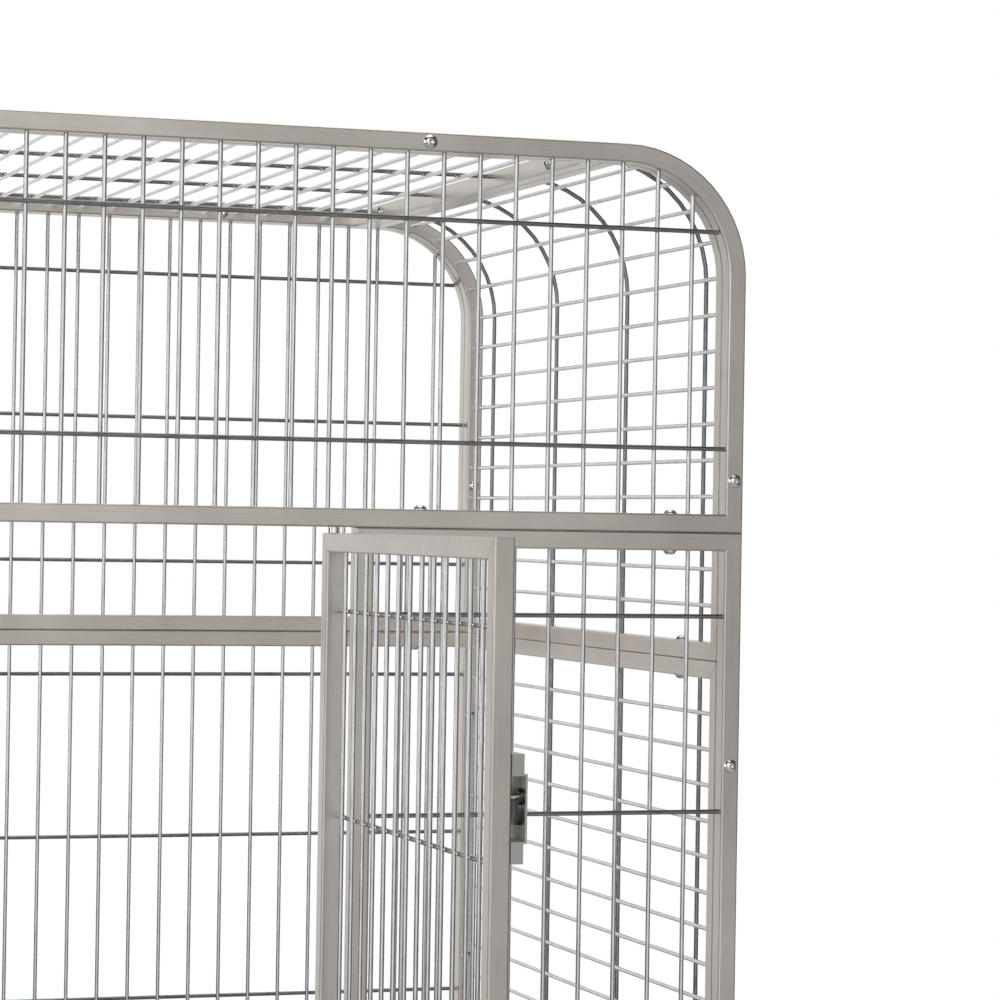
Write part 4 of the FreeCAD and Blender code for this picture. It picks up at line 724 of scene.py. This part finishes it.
# %% Fixed bays beside the door, with their feeder openings
FEEDER_BARS = (2, 6)  # first and last bar that the feeder opening interrupts
for word, sign in (("right", 1), ("left", -1)):
    bay = Shell()
    bay_low, bay_high = corners(word + "_fixed_bars")
    wide, high = bay_high[0] - bay_low[0], bay_high[2] - bay_low[2]
    start = np.array([sign * (JAMB + TUBE), FRONT_Y, bay_low[2]])
    steps = even(wide)
    rows = np.linspace(FRONT_INSET, high - FRONT_INSET, 4)
    number = np.arange(1, len(steps) + 1)
    cut = (number >= FEEDER_BARS[0]) & (number <= FEEDER_BARS[1])
    feet = start + steps[:, None] * sign * X
    rods(bay, feet[~cut], feet[~cut] + high * Z)
    rods(bay, feet[cut], feet[cut] + rows[0] * Z)
    rods(bay, feet[cut] + rows[1] * Z, feet[cut] + high * Z)
    for row in rows:
        bay.finish = 1
        wire = start + row * Z - WELD * Y
        rods(bay, wire, wire + sign * wide * X)
        bay.finish = 0
        beads(bay, feet + row * Z - WELD / 2 * Y, X, -Y)
    fit(bay.write(word + "_bay_bars"), "cage", "bar", GRID_STEEL, word + "_fixed_bars")

# %% [markdown]
# ## The door
# The door is one more frame and grid, in the plane of depth and height because it hangs open at
# a right angle. It rides on its own body, so that it swings with the hinge.

# %% The door, which hangs open
door_low, door_high = corners("door_frame")
door_x = (door_low[0] + door_high[0]) / 2
leaf = Shell()
door_wide, door_tall = door_high[1] - door_low[1], door_high[2] - door_low[2]
rectangle(leaf, [door_x, door_low[1], door_low[2]], door_wide, door_tall, Y, Z)
fit(leaf.write("door_leaf_tube"), "door", "tube", TUBE_STEEL, "door_frame")
grid = Shell()
welded_grid(grid, [door_x, door_low[1] + TUBE, door_low[2] + TUBE], door_wide - 2 * TUBE,
            door_tall - 2 * TUBE, Y, Z, X, DOOR_WIRE_LOW, DOOR_WIRE_TOP, 4, DOOR_PITCH)
fit(grid.write("door_leaf_bars"), "door", "bar", GRID_STEEL, "door_bars")

# %% [markdown]
# ## The stand
# The stand is the same idea in heavier tube: a mitred ring that carries the cage, four legs
# and a low shelf. The slide-out grille over the tray is a framed grid as well.

# %% Ring, legs and shelf rails
ring = Shell()
ring_low, ring_high = corners("stand_ring")
heavy = {"side": LEG, "curve": LEG_CURVE}
ring_wide, ring_deep = (ring_high - ring_low)[:2]
rectangle(ring, [*ring_low[:2], (ring_low[2] + ring_high[2]) / 2], ring_wide, ring_deep, X, Y, **heavy)
fit(ring.write("stand_ring_tube"), "cage", "tube", TUBE_STEEL, "stand_ring")
legs, rails = Shell(), Shell()
leg_low, leg_high = corners("stand_legs")
rail_z = corners("shelf_rails")[0][2] + LEG / 2
leg_x, leg_y = leg_high[0] - LEG / 2, leg_high[1] - LEG / 2
for sx in (-1, 1):
    for sy in (-1, 1):
        foot = np.array([sx * leg_x, sy * leg_y, 0])
        straight(legs, foot + leg_low[2] * Z, foot + leg_high[2] * Z, X, ("", ""), **heavy)
    long_x, long_y = leg_x - LEG / 2, leg_y - LEG / 2
    straight(rails, [sx * leg_x, -long_y, rail_z], [sx * leg_x, long_y, rail_z], X, ("", ""), **heavy)
    straight(rails, [-long_x, sx * leg_y, rail_z], [long_x, sx * leg_y, rail_z], Y, ("", ""), **heavy)
fit(legs.write("stand_leg_tubes"), "cage", "tube", TUBE_STEEL, "stand_legs")
fit(rails.write("shelf_rail_tubes"), "cage", "tube", TUBE_STEEL, "shelf_rails")

# %% Slide-out grille
grille, grid = Shell(), Shell()
grille_low, grille_high = corners("grille_frame")
grille_z = (grille_low[2] + grille_high[2]) / 2
grille_wide, grille_deep = (grille_high - grille_low)[:2]
rectangle(grille, [*grille_low[:2], grille_z], grille_wide, grille_deep, X, Y)
fit(grille.write("grille_tube"), "grille_slide", "tube", TUBE_STEEL, "grille_frame")
welded_grid(grid, [grille_low[0] + TUBE, grille_low[1] + TUBE, grille_z], grille_wide - 2 * TUBE,
            grille_deep - 2 * TUBE, X, Y, -Z, DEPTH_INSET, DEPTH_INSET, 4)
fit(grid.write("grille_grid_bars"), "grille_slide", "bar", GRID_STEEL, "grille_bars")

# %% [markdown]
# ## Bolts, bowls and wheels
# Anything turned is a profile spun round its axis. The bolts are cap screws with a thin flange,
# a low dome and a round socket. The bowls are spun from sheet with a rolled rim, and each
# wheel is a soft tyre on a dished centre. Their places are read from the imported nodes.

# %% Cap screws
HEAD = [(0.0060, 0.0), (0.0060, 0.0005), (0.0057, 0.0009), (0.0053, 0.0016), (0.0046, 0.0024),
        (0.0036, 0.0031), (0.0026, 0.0034), (0.0021, 0.0034), (0.0019, 0.0031), (0.0018, 0.0014),
        (0.0004, 0.0010)]
HEAD_HIGH, SHANK = 0.0035, 0.003  # height of a head, and radius of the shank


def clusters(node, reach):
    """Boxes of separate solids in a node: points nearer than reach to the first are one."""
    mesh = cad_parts[node].data
    points = np.empty(3 * len(mesh.vertices), np.float32)
    mesh.vertices.foreach_get("co", points)
    points = points.reshape(-1, 3).astype(float)
    found = []
    while len(points):
        near = np.linalg.norm(points - points[0], axis=1) < reach
        found.append((points[near].min(0), points[near].max(0)))
        points = points[~near]
    return found


for node in ("seam_bolts", "post_bolts", "roof_bolts"):
    screws = Shell()
    for low, high in clusters(node, 0.06):
        along = np.eye(3)[np.argmax(high - low)]
        middle, reach = (low + high) / 2, (high - low).max() / 2 - HEAD_HIGH
        rods(screws, middle - reach * along, middle + reach * along, SHANK, 16)
        turned(screws, middle + reach * along, along, HEAD, 24)
        turned(screws, middle - reach * along, -along, HEAD, 24)
    fit(screws.write(node.replace("bolts", "cap_screws"), 28), "cage", "fastener", SCREW_STEEL, node)

# %% Spun bowls
BOWL_RADIUS, BOWL_DEEP, BOWL_CURVE, BOWL_SHEET = 0.062, 0.052, 0.008, 0.001
RIM_RADIUS, RIM_ROLL = 0.0643, 0.0016  # middle of the rolled rim, and its own radius
MIDDLE = 0.0004  # how near the axis a profile starts, where its lid goes
for word, sign in (("right", 1), ("left", -1)):
    low, high = corners(word + "_bowl")
    middle = (low + high) / 2
    turn = np.linspace(0, math.pi / 2, 6)
    outer = np.column_stack([BOWL_RADIUS - BOWL_CURVE + BOWL_CURVE * np.sin(turn),
                             BOWL_CURVE - BOWL_CURVE * np.cos(turn)])
    roll = np.linspace(-math.pi / 2, math.pi / 2, 7)
    rim = np.column_stack([RIM_RADIUS + RIM_ROLL * np.cos(roll),
                           BOWL_DEEP - RIM_ROLL + RIM_ROLL * np.sin(roll)])
    inner = outer[::-1] + [-BOWL_SHEET, BOWL_SHEET]
    profile = np.concatenate([[[MIDDLE, 0]], outer, [[BOWL_RADIUS, BOWL_DEEP - 0.0036]], rim,
                              [[BOWL_RADIUS - 0.0004, BOWL_DEEP]], inner, [[MIDDLE, BOWL_SHEET]]])
    bowl = Shell()
    turned(bowl, [middle[0], middle[1], low[2]], Z, profile, 64)
    fit(bowl.write(word + "_spun_bowl", 40), word + "_feeder", "bowl", BOWL_STEEL, word + "_bowl")

# %% Castor wheels
HALF_TYRE = [(0.0262, -0.0125), (0.0325, -0.0125), (0.0350, -0.0120), (0.0368, -0.0105),
             (0.0375, -0.0070)]
HALF_HUB = [(0.0042, -0.0152), (0.0085, -0.0152), (0.0095, -0.0147), (0.0105, -0.0108),
            (0.0200, -0.0098), (0.0225, -0.0110), (0.0240, -0.0129), (0.0258, -0.0129),
            (0.0262, -0.0122)]


def both_sides(profile):
    """Half a profile and its mirror: radius stays, height changes its sign."""
    return profile + [(radius, -height) for radius, height in profile[::-1]]


for number in "1234":
    low, high = corners("castor_wheel_" + number)
    wheel = Shell()
    turned(wheel, (low + high) / 2, X, both_sides(HALF_TYRE), 56)
    wheel.finish = 1
    turned(wheel, (low + high) / 2, X, both_sides(HALF_HUB), 56)
    fit(wheel.write("tyre_and_centre_" + number, 30), "wheel_" + number, "castor_wheel",
        (TYRE_RUBBER, HUB_NYLON), "castor_wheel_" + number)

# %% [markdown]
# ## Studio
# A white studio with a big soft light over the camera. Bare steel shows only what surrounds
# it, so the sides of the room are darker than the front: that gives each tube its shade. The
# floor fades out towards its rim, which leaves no horizon behind the cage.

# %% Floor
FLOOR_RADIUS, FLOOR_SIDES = 3.6, 96
floor_mesh = bpy.data.meshes.new("floor")
angles = np.linspace(0, 2 * math.pi, FLOOR_SIDES, endpoint=False)
rim = FLOOR_RADIUS * np.column_stack([np.cos(angles), np.sin(angles), np.zeros(FLOOR_SIDES)])
floor_mesh.from_pydata(rim.tolist(), [], [list(range(FLOOR_SIDES))])
floor = bpy.data.objects.new("studio_floor", floor_mesh)
bpy.context.scene.collection.objects.link(floor)
paper = Finish("pale_floor", Roughness=0.85)
paper.shader.inputs["Base Color"].default_value = (0.86, 0.86, 0.86, 1)
fade = paper.node("ShaderNodeVectorMath", {"operation": "LENGTH"}, {0: object_place(paper)}, out=1)
edge = paper.node("ShaderNodeMapRange", {"interpolation_type": "SMOOTHSTEP"},
                  {"Value": fade, "From Min": 1.9, "From Max": 3.5, "To Min": 1.0, "To Max": 0.0})
paper.feed(Alpha=edge)
floor_mesh.materials.append(paper.material)
print("floor", 2 * FLOOR_RADIUS, "m across")


# %% Soft lights
def area_light(name, place, target, size, power):
    lamp = bpy.data.lights.new(name, "AREA")
    lamp.shape, lamp.size, lamp.size_y, lamp.energy = "RECTANGLE", size[0], size[1], power
    thing = bpy.data.objects.new(name, lamp)
    bpy.context.scene.collection.objects.link(thing)
    thing.location = place
    thing.rotation_euler = (Vector(target) - Vector(place)).to_track_quat("-Z", "Y").to_euler()
    print(name, power, "W")


area_light("key_softbox", (-1.6, -4.2, 3.2), (0, 0, 1.1), (2.4, 1.8), 60)
area_light("left_fill", (-4.2, -0.6, 1.8), (0, 0, 1.1), (1.6, 2.6), 30)
area_light("top_fill", (0.3, 0.3, 4.2), (0, 0, 1.0), (2.6, 2.6), 40)

# %% [markdown]
# ## What the steel reflects
# The camera sees plain white. Reflections see a room: bright behind the cage, dark at its sides
# and grey in front, with a bright strip towards the camera, and darker between level and
# overhead. Two grey ramps, one round and one up, are multiplied.

# %% The room
world = bpy.data.worlds.new("white_room")
world.use_nodes = True
bpy.context.scene.world = world
tree = world.node_tree
tree.nodes.clear()
output = tree.nodes.new("ShaderNodeOutputWorld")
mix = tree.nodes.new("ShaderNodeMixShader")
seen, room = (tree.nodes.new("ShaderNodeBackground") for part in range(2))
seen.inputs["Color"].default_value, seen.inputs["Strength"].default_value = (1, 1, 1, 1), 1.0
path = tree.nodes.new("ShaderNodeLightPath")
where = tree.nodes.new("ShaderNodeTexCoord")


def ramp_of(amount, stops):
    """Grey by place: each stop is a place from nought to one and a brightness."""
    ramp = tree.nodes.new("ShaderNodeValToRGB")
    steps = ramp.color_ramp.elements
    for index, (place, shade) in enumerate(stops):
        if index in (0, len(stops) - 1):
            stop = steps[0] if index == 0 else steps[-1]
        else:
            stop = steps.new(place)
        stop.position, stop.color = place, (shade, shade, shade, 1)
    half_way = tree.nodes.new("ShaderNodeMath")
    half_way.operation = "MULTIPLY_ADD"
    half_way.inputs[1].default_value = half_way.inputs[2].default_value = 0.5
    tree.links.new(amount, half_way.inputs[0])
    tree.links.new(half_way.outputs[0], ramp.inputs["Fac"])
    return ramp.outputs["Color"]


facing = tree.nodes.new("ShaderNodeVectorMath")
facing.operation = "DOT_PRODUCT"
facing.inputs[1].default_value = (-0.32, -0.947, 0)
rise = tree.nodes.new("ShaderNodeSeparateXYZ")
tree.links.new(where.outputs["Generated"], facing.inputs[0])
tree.links.new(where.outputs["Generated"], rise.inputs[0])
round_room = ramp_of(facing.outputs["Value"],
                     ((0.0, 1.0), (0.14, 0.85), (0.22, 0.12), (0.62, 0.08), (0.82, 0.38),
                      (0.92, 0.56), (0.97, 1.0), (1.0, 1.0)))
up_room = ramp_of(rise.outputs["Z"],
                  ((0.0, 0.55), (0.3, 0.45), (0.45, 0.95), (0.6, 1.0), (0.75, 0.42), (1.0, 1.0)))
blend = tree.nodes.new("ShaderNodeMix")
blend.data_type, blend.blend_type = "RGBA", "MULTIPLY"
blend.inputs[0].default_value = 1
tree.links.new(round_room, blend.inputs[6])
tree.links.new(up_room, blend.inputs[7])
tree.links.new(blend.outputs[2], room.inputs["Color"])
room.inputs["Strength"].default_value = 1.15
tree.links.new(path.outputs["Is Camera Ray"], mix.inputs[0])
tree.links.new(room.outputs[0], mix.inputs[1])
tree.links.new(seen.outputs[0], mix.inputs[2])
tree.links.new(mix.outputs[0], output.inputs["Surface"])
bpy.context.scene.view_settings.view_transform = "Standard"
print("room light", room.inputs["Strength"].default_value)

# %% [markdown]
# ## Camera
# A long lens a good way off keeps the tubes nearly parallel. Three angles turn it: to the right,
# a little up, and a small roll. The three axes are worked out and put into the matrix.

# %% Camera
EYE = (-0.5576, -3.1015, 1.1803)
yaw, pitch, roll = (math.radians(angle) for angle in (18.653, 0.395, 0.925))
ahead = np.array([math.sin(yaw) * math.cos(pitch), math.cos(yaw) * math.cos(pitch), math.sin(pitch)])
level_right = np.array([math.cos(yaw), -math.sin(yaw), 0])
level_up = np.cross(level_right, ahead)
right = level_right * math.cos(roll) + level_up * math.sin(roll)
up = -level_right * math.sin(roll) + level_up * math.cos(roll)
pose = np.eye(4)
pose[:3, :4] = np.column_stack([right, up, -ahead, EYE])
lens = bpy.data.cameras.new("studio_camera")
lens.lens, lens.sensor_width, lens.clip_start, lens.clip_end = 121.4, 36, 0.05, 60
camera = bpy.data.objects.new("studio_camera", lens)
bpy.context.scene.collection.objects.link(camera)
camera.matrix_world = Matrix(pose.tolist())
bpy.context.scene.camera = camera
print("camera", lens.lens, "mm at", EYE)

# %% Finish: the number of pieces
print(len(PIECES), "pieces")
